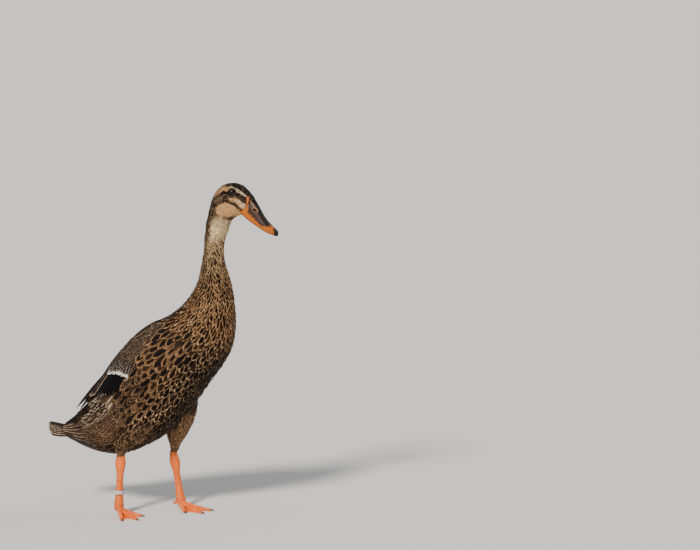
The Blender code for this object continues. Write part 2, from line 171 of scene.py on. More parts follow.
def all_round(count):
    """Angles evenly round a full turn."""
    return np.linspace(0, 2 * math.pi, count, endpoint=False)


def tree_of(points):
    tree = KDTree(len(points))
    for i, point in enumerate(points.tolist()):
        tree.insert(point, i)
    tree.balance()
    return tree


def between(rows, places):
    """Rows at fractional places, on a smooth curve through the whole ones."""
    rows = np.asarray(rows, float)
    last = len(rows) - 1
    i = np.clip(np.floor(places).astype(int), 0, last - 1)
    t = (np.asarray(places) - i)[..., None]
    a, b, c, d = (rows[np.clip(i + k, 0, last)] for k in (-1, 0, 1, 2))
    return 0.5 * (2 * b + (c - a) * t + (2 * a - 5 * b + 4 * c - d) * t ** 2
                  + (3 * b - a - 3 * c + d) * t ** 3)


def all_rings():
    """Every ring from the bill to the tail as crown point, throat point, half width and fullness."""
    rows = [(*ring, CHEEK_FULLNESS) for ring in HEAD_RINGS]
    for x, z, depth, width, lean in BODY_RINGS:
        up = np.array([-math.cos(math.radians(lean)), math.sin(math.radians(lean))]) * depth
        rows.append((x + up[0], z + up[1], x - up[0], z - up[1], width, 0))
    return np.array(rows, float)


RINGS = all_rings()


def turned(points, way=1):
    """Drawn points turned with the head, about the neck, as the solids are. A way of -1 undoes it."""
    angle = way * HEAD_TURN * smooth(points[..., 2], TURN_FROM, TURN_TO)
    x, y = points[..., 0] - NECK_AXIS[0], points[..., 1] - NECK_AXIS[1]
    out = points.copy()
    out[..., 0] = x * np.cos(angle) - y * np.sin(angle) + NECK_AXIS[0]
    out[..., 1] = x * np.sin(angle) + y * np.cos(angle) + NECK_AXIS[1]
    return out


# The duck was moved after it was drawn. The left eye tells how far.
EYE_LOW, EYE_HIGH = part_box("eye_left")
MOVED = np.array((EYE_LOW + EYE_HIGH) / 2) - turned(np.array(EYE_PLACE)) * MM


def eye_centre(side, outwards=0.0):
    forward, aside, height = EYE_PLACE
    return placed(turned(np.array([forward, side * (aside + outwards), height])))


def placed(points):
    """Drawn millimetres to metres in the frame."""
    return np.asarray(points, float) * MM + MOVED


def drawn(points):
    """Metres in the frame to drawn millimetres."""
    return (np.asarray(points, float) - MOVED) / MM


def surface(place, angle):
    """The point of the plumage at a place along the rings and an angle round from the back, drawn."""
    top_x, top_z, low_x, low_z, width, full = np.moveaxis(between(RINGS, place), -1, 0)
    cos, sin = np.cos(angle), np.sin(angle)
    x = (top_x + low_x) / 2 + (top_x - low_x) / 2 * cos
    z = (top_z + low_z) / 2 + (top_z - low_z) / 2 * cos
    return turned(np.stack([x, width * sin * (1 - full * cos), z], -1))


# Ways to make meshes.

def new_object(name, data):
    fresh = bpy.data.objects.new(name, data)
    bpy.context.scene.collection.objects.link(fresh)
    return fresh


def mesh_from(name, points, faces, corner_maps=None, colours=None):
    """A mesh object from arrays: points, faces with -1 as a missing fourth corner, maps and point colours."""
    mesh = bpy.data.meshes.new(name)
    mesh.vertices.add(len(points))
    mesh.vertices.foreach_set("co", np.asarray(points, np.float32).ravel())
    faces = np.asarray(faces, np.int32)
    corners = faces[faces >= 0]
    total = (faces >= 0).sum(1)
    mesh.loops.add(len(corners))
    mesh.loops.foreach_set("vertex_index", corners)
    mesh.polygons.add(len(faces))
    mesh.polygons.foreach_set("loop_start", (np.cumsum(total) - total).astype(np.int32))
    mesh.polygons.foreach_set("use_smooth", np.full(len(faces), True))
    mesh.update(calc_edges=True)
    for map_name, values in (corner_maps or {}).items():
        layer = mesh.uv_layers.new(name=map_name)
        layer.data.foreach_set("uv", values[corners].astype(np.float32).ravel())
    for colour_name, values in (colours or {}).items():
        set_point_colours(mesh, colour_name, values)
    mesh.validate()
    return new_object(name, mesh)


def wall(first, second):
    """Faces between rings of corners."""
    return np.stack([first, np.roll(first, -1, 1), np.roll(second, -1, 1), second], -1).reshape(-1, 4)


def closed_tube(name, rings, colours):
    """A closed mesh through rings of points, its ends closed by fans round one more point each."""
    rows, around = rings.shape[:2]
    ring = np.arange(rows * around).reshape(rows, around)
    fans = [beside(np.roll(ring[0], -1), ring[0], rows * around, -1),
            beside(ring[-1], np.roll(ring[-1], -1), rows * around + 1, -1)]

    def with_ends(values):
        return np.concatenate([values.reshape(rows * around, -1), values[:1].mean(1), values[-1:].mean(1)])

    made_tube = mesh_from(name, with_ends(rings), np.concatenate([wall(ring[:-1], ring[1:]), *fans]),
                          colours={key: with_ends(value) for key, value in colours.items()})
    facing_out(made_tube.data)
    return made_tube


def closed_ring(name, rings, colours=None):
    """A closed mesh through rings of points that come back to the first."""
    ring = np.arange(rings[..., 0].size).reshape(rings.shape[:2])
    made_ring = mesh_from(name, rings.reshape(-1, 3), wall(ring, np.roll(ring, -1, 0)),
                          colours={key: value.reshape(-1, 4) for key, value in (colours or {}).items()})
    facing_out(made_ring.data)
    return made_ring


def facing_out(mesh):
    bm = bmesh.new()
    bm.from_mesh(mesh)
    bmesh.ops.recalc_face_normals(bm, faces=bm.faces)
    bm.to_mesh(mesh)
    bm.free()


def with_alpha(colours, alpha=1.0):
    return np.concatenate([colours, np.broadcast_to(alpha, colours.shape[:-1])[..., None]], -1)


def read(items, key, wide=1, kind=np.float32):
    """A value of every item of a mesh, a row for each if it is wide."""
    out = np.empty(len(items) * wide, kind)
    items.foreach_get(key, out)
    return out.reshape(-1, wide) if wide > 1 else out


def mesh_points(mesh):
    return read(mesh.vertices, "co", 3).astype(float)


def set_mesh_points(mesh, points):
    mesh.vertices.foreach_set("co", np.asarray(points, np.float32).ravel())
    mesh.update()


def mesh_normals(mesh):
    return read(mesh.vertex_normals, "vector", 3).astype(float)


def mesh_quads(mesh):
    """Corner indices of every face, with a three-sided face's last corner given twice."""
    total, start = (read(mesh.polygons, key, 1, np.int32) for key in ("loop_total", "loop_start"))
    steps = np.minimum(np.arange(4)[None, :], total[:, None] - 1)
    return read(mesh.loops, "vertex_index", 1, np.int32)[start[:, None] + steps]


def set_point_colours(mesh, name, colours):
    layer = mesh.attributes.new(name, "FLOAT_COLOR", "POINT")
    layer.data.foreach_set("color", colours.astype(np.float32).ravel())


def spread(edges, values, rounds):
    """Evens out values over a mesh by mixing each point with its neighbours."""
    count = np.zeros(len(values))
    np.add.at(count, edges.ravel(), 1)
    for _ in range(rounds):
        total = np.zeros_like(values)
        np.add.at(total, edges[:, 0], values[edges[:, 1]])
        np.add.at(total, edges[:, 1], values[edges[:, 0]])
        values = (values + total / np.maximum(count, 1)[:, None]) / 2
    return values


def take_result(obj):
    """Replaces an object's mesh by what its modifiers make of it."""
    graph = bpy.context.evaluated_depsgraph_get()
    result = bpy.data.meshes.new_from_object(obj.evaluated_get(graph))
    obj.modifiers.clear()
    obj.data = result


# Points of a solid nearer than this are made one.
WELD = 0.01 * MM


def swollen_join(name, nodes, swell, trim=None):
    """One mesh of copies of frame nodes, each a little swollen so that neighbours overlap."""
    whole = bmesh.new()
    for node in nodes:
        piece = bmesh.new()
        piece.from_mesh(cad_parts[node].data)
        bmesh.ops.remove_doubles(piece, verts=piece.verts, dist=WELD)
        if trim and node in trim:
            point, normal = trim[node]
            cut = bmesh.ops.bisect_plane(piece, geom=[*piece.verts, *piece.edges, *piece.faces],
                                         plane_co=point, plane_no=normal, clear_outer=True)
            rim = [e for e in cut["geom_cut"] if isinstance(e, bmesh.types.BMEdge)]
            bmesh.ops.holes_fill(piece, edges=rim)
        piece.normal_update()
        for vert in piece.verts:
            vert.co += vert.normal * swell
        holder = bpy.data.meshes.new("holder")
        piece.to_mesh(holder)
        piece.free()
        whole.from_mesh(holder)
        bpy.data.meshes.remove(holder)
    mesh = bpy.data.meshes.new(name)
    whole.to_mesh(mesh)
    whole.free()
    return new_object(name, mesh)


def remeshed(obj, voxel, softening):
    """Grows an object's overlapping pieces together into one even skin."""
    remesh = obj.modifiers.new("even", "REMESH")
    remesh.mode = "VOXEL"
    remesh.voxel_size = voxel
    soften = obj.modifiers.new("soften", "SMOOTH")
    soften.iterations = softening
    take_result(obj)
    return obj


# Rounds of evening out: of the step at the shoulder, of the way the form faces and of its lie.
SHOULDER_ROUNDS, FACING_ROUNDS, LIE_ROUNDS = 24, 3, 14
# Round an eye the lie is turned aside from the one distance to the other, by so much.
EYE_FAR, EYE_NEAR, EYE_TURN = 12 * MM, 7 * MM, 1.25


class Form:
    """The outer form of the plumage: where its nearest point is, which way it faces and lies."""

    def __init__(self, mesh):
        self.points = mesh_points(mesh)
        self.quads = mesh_quads(mesh)
        self.edges = read(mesh.edges, "vertices", 2, np.int32)
        self.place, self.angle, self.limb, self.proud, lie = locate(self.points)
        self.ease_the_shoulder(mesh)
        self.normals = unit(spread(self.edges, mesh_normals(mesh), FACING_ROUNDS))
        self.tree = BVHTree.FromPolygons([tuple(p) for p in self.points],
                                         [tuple(dict.fromkeys(q)) for q in self.quads.tolist()])
        lie = spread(self.edges, unit(levelled(lie, self.normals)), LIE_ROUNDS)
        self.lie = self.round_the_eyes(unit(levelled(lie, self.normals)))

    def ease_the_shoulder(self, mesh):
        """Evens out the step where the folded wing starts, which the feathers in front run over."""
        body, deg = self.place - NECK_TOP, np.degrees(np.abs(self.angle))
        share = smooth(body, 6.0, 6.8) * smooth(body, 10.6, 9.6) * smooth(deg, 80, 62)
        self.points = blend(self.points, spread(self.edges, self.points, SHOULDER_ROUNDS), share)
        set_mesh_points(mesh, self.points)

    def round_the_eyes(self, lie):
        """Turns the lie aside in front of each eye, so that no feather crosses it."""
        for side in (1, -1):
            away = levelled(self.points - eye_centre(side), self.normals)
            reach = far(away)
            away = unit(away)
            towards = np.minimum(dot(lie, away), 0) * smooth(reach, EYE_FAR, EYE_NEAR)
            lie = unit(lie - away * towards[:, None] * EYE_TURN)
        return lie

    def nearest(self, points):
        """Nearest points of the form, with the corners and weights to read its values there."""
        count = len(points)
        found = np.empty((count, 3))
        faces = np.zeros(count, int)
        search = self.tree.find_nearest
        for i, point in enumerate(points.tolist()):
            where, _, face, _ = search(point)
            found[i] = where
            faces[i] = face
        corners = self.quads[faces]
        reach = far(self.points[corners] - found[:, None])
        weights = 1 / (reach + 0.05 * MM) ** 2
        return found, corners, weights / weights.sum(1, keepdims=True)

    def read(self, values, corners, weights):
        return np.einsum("nk,nk...->n...", weights, values[corners])

    def facing(self, corners, weights):
        return unit(self.read(self.normals, corners, weights))

    def own_points(self):
        """Corners and weights that read the form's values at each of its own points."""
        everywhere = np.arange(len(self.points))
        return np.repeat(everywhere[:, None], 4, 1), np.full((len(everywhere), 4), 0.25)


# The net over the ringed surface: rows from ring to ring and columns all round. Below the height, drawn, a
# point may be on a thigh.
NET_FINE, NET_ROUND, THIGHS_BELOW = 12, 120, 150


def locate(points):
    """Place and angle of points on the ringed surface, place down a thigh, distance off it, and the lie."""
    fine, turns = NET_FINE, NET_ROUND
    places = np.arange(0, len(RINGS) - 1 + 1e-6, 1 / fine)
    angles = np.linspace(-math.pi, math.pi, turns, endpoint=False)
    net = surface(np.repeat(places, turns), np.tile(angles, len(places))).reshape(len(places), turns, 3)
    along = np.gradient(net, 1 / fine, axis=0)
    around = (np.roll(net, -1, 1) - np.roll(net, 1, 1)) / (4 * math.pi / turns)
    tree = tree_of(net.reshape(-1, 3))
    here = drawn(points)
    hits = [tree.find(point) for point in here.tolist()]
    index = np.array([hit[1] for hit in hits])
    off = np.array([hit[2] for hit in hits])
    i, j = index // turns, index % turns
    gap = here - net[i, j]
    run, across = along[i, j], around[i, j]
    a, b, c = dot(run, run), dot(run, across), dot(across, across)
    d, e = dot(gap, run), dot(gap, across)
    det = np.maximum(a * c - b * b, 1e-9)
    proud = dot(gap, unit(np.cross(across, run)))
    place = places[i] + np.clip((c * d - b * e) / det, -1 / fine, 1 / fine)
    angle = angles[j] + np.clip((a * e - b * d) / det, -0.06, 0.06)
    lie = unit(run)
    limb = np.zeros(len(points))
    for side, stations in enumerate(THIGHS):
        steps = np.linspace(1.0, len(stations) - 1, 60)
        core = between(stations, steps)
        offsets = here[:, None, :] - core[None, :, :3]
        reach = np.abs(far(offsets) - core[None, :, 3])
        level = np.abs(offsets[:, :, 2])
        k = np.argmin(reach + level * 0.35, 1)
        close = reach[np.arange(len(here)), k]
        mine = (close < off - 0.4) & (here[:, 2] < THIGHS_BELOW) & (here[:, 1] * (side * 2 - 1) > 0)
        down = unit(np.gradient(core[:, :3], axis=0))[k]
        lie[mine] = down[mine]
        limb[mine] = steps[k][mine]
    return place, np.abs(angle) * np.sign(here[:, 1] + 1e-9), limb, np.abs(proud), lie


# The plumage's design: how deep, how close and how coloured it is at every place.

CROWN, CROWN_FLECK = tone("1a120d"), tone("75675a")
BROW_BUFF, BROW_PALE = tone("cf9a68"), tone("ecd0aa")
CHEEK_PALE, CHEEK_WARM, THROAT_BUFF = tone("f8d2a0"), tone("dfa870"), tone("e6b078")
EYE_STRIPE, FACE_DARK, FACE_GREY = tone("160e0a"), tone("2a1e16"), tone("75624f")
REAR_DARK, REAR_PALE = tone("33271c"), tone("8e7458")
NECK_BUFF, NECK_STREAK, NAPE = tone("ffdcab"), tone("7a5b3c"), tone("372819")
TAWNY, TAWNY_EDGE, SPOT = tone("795638"), tone("b08a63"), tone("090402")
LOOP_BUFF = tone("634a33")
BELLY, BELLY_EDGE, BELLY_MARK = tone("3d2b1c"), tone("c09c75"), tone("070302")
MANTLE, MANTLE_EDGE = tone("2a1c13"), tone("b5977c")
COVERT, COVERT_EDGE, COVERT_MARK = tone("42301f"), tone("c4a88f"), tone("120a05")
VENT, VENT_EDGE, VENT_MARK = tone("4a3526"), tone("937659"), tone("1c110a")
STREAKED, STREAK_PALE = tone("38281b"), tone("e2cab0")
RUMP_DARK, RUMP_EDGE = tone("110a06"), tone("4c3829")
THIGH, THIGH_EDGE, THIGH_END = tone("3d2a1b"), tone("8d7050"), tone("6b543a")
TERTIAL, TERTIAL_EDGE = tone("1d120b"), tone("c4a68a")
SPECULUM, SPECULUM_TIP = tone("040203"), tone("d8cdc2")
BAR_WHITE, BAR_BASE = tone("efe4d8"), tone("3d2a1d")
QUILL_DARK, QUILL_EDGE = tone("1a110b"), tone("5d4633")
TAIL_DARK, TAIL_PALE = tone("1d120b"), tone("c4a98d")


def bill_view(points):
    """Forward, side and rise of points in the bill's own directions, from the gape."""
    flat = turned(drawn(points), -1)
    x, z = flat[..., 0] - GAPE[0], flat[..., 2] - GAPE[1]
    cos, sin = math.cos(BILL_PITCH), math.sin(BILL_PITCH)
    return x * cos + z * sin, flat[..., 1], z * cos - x * sin


# Where the bare bill ends against the face: rise and how far forward. On top the feathers run on as a
# wedge: forward and half width.
BILL_BACK = ((-2, -3.6), (5, -2.2), (10, -0.9), (13, -1.4), (17, -4.2), (23, -10.4), (30, -12))
BILL_WEDGE = ((-12, 4.8), (-6, 4.3), (0, 3.4), (4, 2.4), (7.5, 0))


def back_margin(forward, rise):
    """Distance in front of the face's feathers, without the wedge on top."""
    return forward - ramp(rise, BILL_BACK)


def bill_margin(forward, side, rise):
    """Distance in front of the feathers' edge on the bill, below 0 on the feathered side, in millimetres."""
    margin = back_margin(forward, rise)
    wedge = (np.abs(side) - ramp(forward, BILL_WEDGE)) * 1.3
    high = smooth(rise, 15, 19)
    return np.minimum(margin, wedge * high + margin * (1 - high))


def near_line(flat, line, low=0.72, high=1.12):
    """1 near a bent line in the side view, fading to 0 from low to high half widths off it."""
    best = np.full(len(flat), 1e9)
    for (ax, az, aw), (bx, bz, bw) in zip(line, line[1:]):
        a, run = np.array([ax, az]), np.array([bx - ax, bz - az])
        t = np.clip(((flat - a) @ run) / (run @ run), 0, 1)
        reach = far(flat - a - t[:, None] * run) / (aw + (bw - aw) * t)
        best = np.minimum(best, reach)
    return 1 - smooth(best, low, high)


# Lines on the side of the head in drawn millimetres: forward, height, half width.
BROW_PATCH = ((138, 498.6, 3.0), (130, 498.6, 3.8), (124, 495.4, 3.8), (118.5, 491.5, 3.2), (115, 487, 2.2))
BROW_STRIPE = ((138, 501.2, 0.8), (144.7, 501.2, 1.0), (152, 498.8, 1.1), (157.8, 496.0, 1.1),
               (162.9, 493.2, 1.0), (167.2, 490.6, 1.0), (170.7, 487.6, 0.9), (174.1, 485.0, 0.8))
EYE_FRONT = ((150, 493.2, 3.4), (154.8, 491.2, 3.4), (159.5, 488.0, 3.6), (164.4, 485.4, 4.2),
             (170, 480.8, 4.2))
EYE_BACK = ((143, 494.2, 4.4), (138.6, 493.8, 3.2), (132.1, 493.2, 3.0), (125.5, 490.4, 2.5),
            (119.5, 487.4, 2.0))
CHEEK_WEDGE = ((144.5, 484.6, 1.6), (153.9, 483.4, 3.2), (160.8, 478.4, 4.0), (166.6, 473.4, 4.6),
               (170, 470.5, 4.2))
GAPE_STRIPE = ((165, 465.8, 2.3), (162.1, 468.0, 2.1), (157.2, 472.6, 1.8), (152.4, 477.0, 1.7),
               (146.8, 480.2, 1.6), (140.7, 481.0, 1.5), (134, 480.4, 1.4))
THROAT = ((161, 462, 2.8), (154, 464, 6.0), (148, 466, 9.5), (139, 467.5, 11), (131, 466.5, 9.6))
CROWN_EDGE = ((106, 482), (112, 487.5), (114.9, 490.6), (119.2, 497.4), (124.7, 501.8), (133.4, 504.2),
              (140.7, 504.0), (147.7, 502.2), (154.3, 499.0), (160.5, 495.8), (165.9, 492.8),
              (171.6, 488.6), (178, 483.5), (186, 476))

# The folded wing on the body's places: lower edge, upper edge, the white bar's lower edge and the tips of
# the dark feathers behind it, as place and angle from the back.
WING_LOW = ((7.6, 40), (8.35, 45), (8.97, 48), (9.45, 52), (9.88, 54), (10.18, 58), (10.47, 60),
            (10.8, 64), (11.1, 68), (11.43, 66), (11.82, 61), (12.1, 57), (12.25, 52), (12.55, 41), (13, 31))
WING_HIGH = ((7.6, 34), (9, 31), (10, 29), (11, 28), (13, 27))
BAR_EDGE = ((28, 11.66), (33, 11.62), (46, 11.35), (57, 11.18), (68, 11.08))
DARK_TIPS = ((28, 12.98), (33, 12.9), (41, 12.55), (52, 12.25), (57, 12.1), (62, 11.85))


# The body places from where rows of wing coverts and of tail coverts take over from scattered feathers.
COVERT_FROM, TAIL_COVERTS_FROM = 8.5, 15.1


def wing_share(body, deg):
    """1 on the part of the folded wing with small coverts, fading over its edge."""
    inside = smooth(ramp(body, WING_LOW) - deg, -1.5, 2.0) * smooth(deg - ramp(body, WING_HIGH), -2, 2)
    return inside * (body > 7.7) * smooth(ramp(deg, BAR_EDGE) - body, -0.12, 0.0)


def quill_area(body, deg):
    """Where the long wing feathers cover the body: nothing else grows there."""
    behind = body > ramp(deg, BAR_EDGE) - 0.24
    return behind & (body < 13.0) & (deg < ramp(body, WING_LOW) - 3) & (deg > 3)


class Style:
    """Everything that the plumage does at some points of the form, as arrays."""

    def __init__(self, form, found, corners, weights, rng):
        self.u = form.read(form.place, corners, weights)
        self.deg = np.degrees(np.abs(form.read(form.angle, corners, weights)))
        self.body = self.u - NECK_TOP
        self.limb = form.read(form.limb, corners, weights)
        self.proud = form.read(form.proud, corners, weights)
        self.points = found
        self.rng = rng
        self.depth = depth_at(self)
        self.colour()

    def paint(self, share, ground=None, mark=None, edge=None, **sizes):
        """Mixes colours and sizes in, by a share for each point."""
        for key, value in (("ground", ground), ("mark", mark), ("edge", edge)):
            if value is not None:
                setattr(self, key, blend(getattr(self, key), value, share))
        for key, value in sizes.items():
            setattr(self, key, getattr(self, key) + (value - getattr(self, key)) * share)

    def colour(self):
        count = len(self.u)
        body, deg, rng = self.body, self.deg, self.rng
        full = np.ones(count)
        self.ground = np.tile(NECK_BUFF, (count, 1))
        self.mark = np.tile(NECK_STREAK, (count, 1))
        self.edge = np.tile(NECK_BUFF * 1.1, (count, 1))
        self.round = full * 0.8
        self.size = full * 0.25
        self.loop = full * 0.0
        # The neck is buff with fine dark streaks, dark down the nape.
        nape = smooth(deg + rng.normal(0, 6, count), 94, 66)
        self.paint(nape, NAPE, NECK_STREAK * 0.2, NECK_BUFF * 0.34, size=0.45)
        lower = smooth(body, 0.6, 3.2)
        self.paint(lower * (1 - 0.6 * nape), NECK_BUFF * (0.42, 0.38, 0.32), NECK_STREAK * 0.06,
                   NECK_BUFF * (0.8, 0.74, 0.66), round=0.7, size=0.58)
        # The breast is tawny with a dark oval in every feather.
        breast = smooth(body, 3.4, 5.4)
        self.paint(breast, TAWNY * 0.95, SPOT, TAWNY_EDGE, round=0.72, size=0.58)
        flank = smooth(body, 6.5, 9) * smooth(deg, 122, 94)
        rear = smooth(body, 8.5, 11.5)
        self.paint(flank, TAWNY * 0.84, SPOT, TAWNY_EDGE * 0.7, round=0.66, size=0.56, loop=0.15)
        self.paint(flank * rear, TAWNY * 0.7, SPOT, TAWNY_EDGE * 0.56)
        looped = flank * smooth(body, 10.3, 11.5) * smooth(deg, 108, 90)
        self.paint(looped, LOOP_BUFF, SPOT, LOOP_BUFF * 1.1, round=0.6, size=0.5, loop=1.0)
        shoulder = smooth(body, 5.0, 6.6) * smooth(body, 9.4, 7.6) * smooth(deg, 46, 60)
        self.paint(shoulder, TAWNY * 1.2, SPOT, TAWNY_EDGE * 1.1, round=0.72, size=0.47)
        under = smooth(body, 7.0, 9.5) * smooth(deg, 100, 132)
        self.paint(under, BELLY, BELLY_MARK, BELLY_EDGE, round=0.84, size=0.5, loop=0.0)
        # Painted shade: the belly darkens further where it turns under the body.
        self.paint(under * smooth(deg, 132, 152), BELLY * 0.5, BELLY_MARK, BELLY_EDGE * 0.45)
        back = smooth(body, 3.6, 5.6) * smooth(deg, 46, 26) * smooth(body, 14.0, 12.5)
        self.paint(back, MANTLE, SPOT, MANTLE_EDGE, round=0.74, size=0.6, loop=0.0)
        vent = smooth(body, 11.9, 13.2) * smooth(deg, 20, 40)
        self.paint(vent, VENT, VENT_MARK, VENT_EDGE, round=0.86, size=0.34, loop=0.0)
        self.paint(vent * smooth(deg, 105, 140), VENT * 0.66, VENT_MARK * 0.6, VENT_EDGE * 0.8, size=0.42)
        pale = vent * smooth(body, 12.2, 12.9) * smooth(body, 14.4, 13.4) * smooth(np.abs(deg - 104), 26, 10)
        self.paint(pale * 0.7, VENT * 1.6, VENT * 0.6, VENT_EDGE * (1.3, 1.27, 1.2), size=0.24)
        streaks = smooth(body, 12.2, 12.7) * smooth(body, 14.8, 13.6) * smooth(deg, 26, 34)
        streaks = streaks * smooth(deg, 80, 64)
        self.paint(streaks, STREAKED, STREAK_PALE, STREAKED * 1.7, round=0.94, size=0.0, loop=0.0)
        rump = smooth(body, 12.6, 13.6) * smooth(deg, 62, 44)
        self.paint(rump, RUMP_DARK, RUMP_DARK * 0.5, RUMP_EDGE, round=0.6, size=0.6)
        self.paint(wing_share(body, deg), COVERT, COVERT_MARK, COVERT_EDGE, round=0.72, size=0.3, loop=0.0)
        thigh = smooth(self.limb, 1.4, 2.4)
        self.paint(thigh, THIGH, BELLY_MARK, THIGH_EDGE, round=0.66, size=0.44, loop=0.0)
        inner = smooth(np.abs(drawn(self.points)[:, 1]), 48, 34) * smooth(self.limb, 1.4, 2.6)
        self.paint(inner, THIGH * 3.4, THIGH * 1.3, THIGH_EDGE * 1.8, size=0.24)
        self.paint(smooth(self.limb, 4.1, 4.8), THIGH_END, THIGH, THIGH_END * 1.5, size=0.2)
        self.colour_head()
        # No two feathers are quite the same.
        vary = rng.normal(1, 0.11, (count, 1))
        self.ground = np.clip(self.ground * vary, 0, 1)
        self.edge = np.clip(self.edge * vary * rng.normal(1, 0.08, (count, 1)), 0, 1)
        self.size = self.size * rng.normal(1, 0.2, count)
        faded = (rng.random(count) > 0.8) * smooth(body, 3, 5) * smooth(body, 12.5, 11.5)
        self.paint(faded * 0.12, mark=TAWNY * 0.6)

    def colour_head(self):
        """The face's stripes, cap, cheek and throat, fading into the neck."""
        head = smooth(self.u + smooth(self.deg, 70, 130) * 1.6, 12.4, 10.6)
        count, rng = len(self.u), self.rng
        flat = turned(drawn(self.points), -1)[:, [0, 2]] + rng.normal(0, 0.6, (count, 2))
        dither = rng.random(count)
        plain = blend(REAR_DARK, REAR_PALE, smooth(dither, 0.25, 0.95))
        plain = blend(plain, blend(THROAT_BUFF, CHEEK_PALE, (dither > 0.8) * 0.4),
                      near_line(flat, THROAT, 0.8, 1.2))
        wedge = blend(CHEEK_WARM, CHEEK_PALE,
                      np.clip(smooth(flat[:, 0], 152, 165) + (dither > 0.7) * 0.4, 0, 1))
        plain = blend(plain, wedge, near_line(flat, CHEEK_WEDGE))
        front = blend(FACE_DARK, FACE_GREY, smooth(dither, 0.5, 1.0) * 0.8)
        plain = blend(plain, front, near_line(flat, EYE_FRONT))
        stripe = blend(EYE_STRIPE * 1.3, FACE_GREY, smooth(dither, 0.6, 1.0) * 0.6)
        plain = blend(plain, stripe, near_line(flat, EYE_BACK, 0.6, 1.2))
        plain = blend(plain, stripe, near_line(flat, GAPE_STRIPE, 0.6, 1.2))
        crown = blend(CROWN * 0.8, CROWN_FLECK, smooth(dither, 0.6, 1.0) * 0.7)
        above = smooth(flat[:, 1] - ramp(flat[:, 0], CROWN_EDGE), -0.7, 0.5)
        plain = blend(plain, crown, np.maximum(above, smooth(self.deg, 26, 18) * smooth(self.u, 9, 7.5)))
        plain = blend(plain, BROW_BUFF, near_line(flat, BROW_PATCH) * (1 - above))
        plain = blend(plain, BROW_PALE, near_line(flat, BROW_STRIPE, 0.7, 1.25))
        dark_nape = smooth(self.deg + rng.normal(0, 6, count), 66, 40) * smooth(self.u, 7.2, 9)
        plain = blend(plain, blend(NAPE, REAR_PALE, (dither > 0.8) * 0.6), dark_nape)
        self.paint(head, plain, plain * 0.6, np.minimum(plain * 1.15, 1), round=0.95, size=0.16, loop=0.0)


def depth_at(style):
    """How deep the plumage is, from the skin to its outer form."""
    depth = ramp(style.u, ((0, 0.6), (4, 1.0), (10, 1.4), (14, 1.8), (17, 2.4), (20, 4.0), (24, 5.0),
                           (27, 4.5), (29, 3.2), (30, 2.4)))
    thigh = ramp(style.limb, ((1, 4.0), (2, 3.4), (3.5, 2.4), (4.3, 1.2), (4.8, 1.0), (6, 1.6)))
    return np.where(style.limb > ON_LIMB, thigh, depth) * MM


def spacing_at(style):
    """How far apart neighbouring feathers grow."""
    space = ramp(style.u, ((0, 1.3), (5, 1.45), (9, 1.8), (12, 2.5), (15, 3.2), (17, 4.6), (19, 6.6),
                           (22, 8.2), (25, 8.6), (27, 7.6), (29, 5.0), (30, 3.6)))
    flank = smooth(style.body, 6.5, 9) * smooth(style.deg, 125, 95) * smooth(style.body, 13.2, 12)
    space = space + flank * 5.0
    vent = smooth(style.body, 11.8, 12.3) * smooth(style.deg, 20, 32)
    space = space + (6.0 - space) * vent * (space > 6.0)
    thigh = ramp(style.limb, ((1, 7.5), (2, 6.5), (3, 5.4), (4, 3.6), (5, 2.4)))
    return np.where(style.limb > LIMB_FEATHERS, thigh, space) * MM


# How high the flank's feathers stand over the folded wing.
LAP = 1.4 * MM


def swell_at(style):
    """How far feathers stand over their neighbours: those of the flank lap over the wing's lower edge."""
    below = style.deg - ramp(style.body, WING_LOW)
    over = smooth(below, -3, 3) * smooth(below, 22, 10)
    return over * smooth(style.body, 8, 9.5) * smooth(style.body, 12.4, 11.8) * LAP


# Vanes.

ROWS = {"fine": (0, 0.4, 0.75, 1.0), "middle": (0, 0.3, 0.55, 0.78, 0.92, 1.0),
        "large": (0, 0.2, 0.4, 0.56, 0.7, 0.82, 0.92, 1.0),
        "quill": (0, 0.12, 0.25, 0.38, 0.5, 0.61, 0.71, 0.8, 0.87, 0.93, 0.97, 1.0)}
COLUMNS = {"fine": 3, "middle": 5, "large": 7, "quill": 9}


def vane_faces(rows, columns):
    """Faces of one closed, thin vane: an upper sheet and a lower one that share their rim."""
    upper = np.arange(rows * columns).reshape(rows, columns)
    lower = upper.copy()
    inner = np.arange((rows - 2) * (columns - 2)).reshape(rows - 2, columns - 2)
    lower[1:-1, 1:-1] = inner + rows * columns
    faces = []
    for sheet, flip in ((upper, False), (lower, True)):
        a, b, c, d = sheet[:-1, :-1], sheet[:-1, 1:], sheet[1:, 1:], sheet[1:, :-1]
        faces.append(np.stack([a, d, c, b] if flip else [a, b, c, d], -1).reshape(-1, 4))
    return np.concatenate(faces), rows * columns + inner.size


def rounded(v):
    """Half width of a body feather along its length, as a share of its widest."""
    close = np.clip((v - 0.55) / 0.45, 0, 1)
    return (0.30 + 0.70 * smooth(v, 0, 0.55)) * np.sqrt(np.maximum(1 - close ** 2.4, 0.05))


def downy(v):
    """Half width of a small soft feather, narrowing to a fine end."""
    close = np.clip((v - 0.4) / 0.6, 0, 1)
    return (0.4 + 0.6 * smooth(v, 0, 0.4)) * (1 - close ** 1.6 * 0.86)


def oblong(v):
    """Half width of a long wing or tail feather: even sides and a round end."""
    close = np.clip((v - 0.8) / 0.2, 0, 1)
    return (0.25 + 0.75 * smooth(v, 0, 0.4)) * np.sqrt(np.maximum(1 - close ** 2.2, 0.04))


def pointed(v):
    """Half width of a free wing-tip feather, which narrows to its end."""
    close = np.clip((v - 0.5) / 0.5, 0, 1)
    return (0.35 + 0.65 * smooth(v, 0, 0.35)) * np.maximum(1 - close ** 2.0 * 0.95, 0.05)


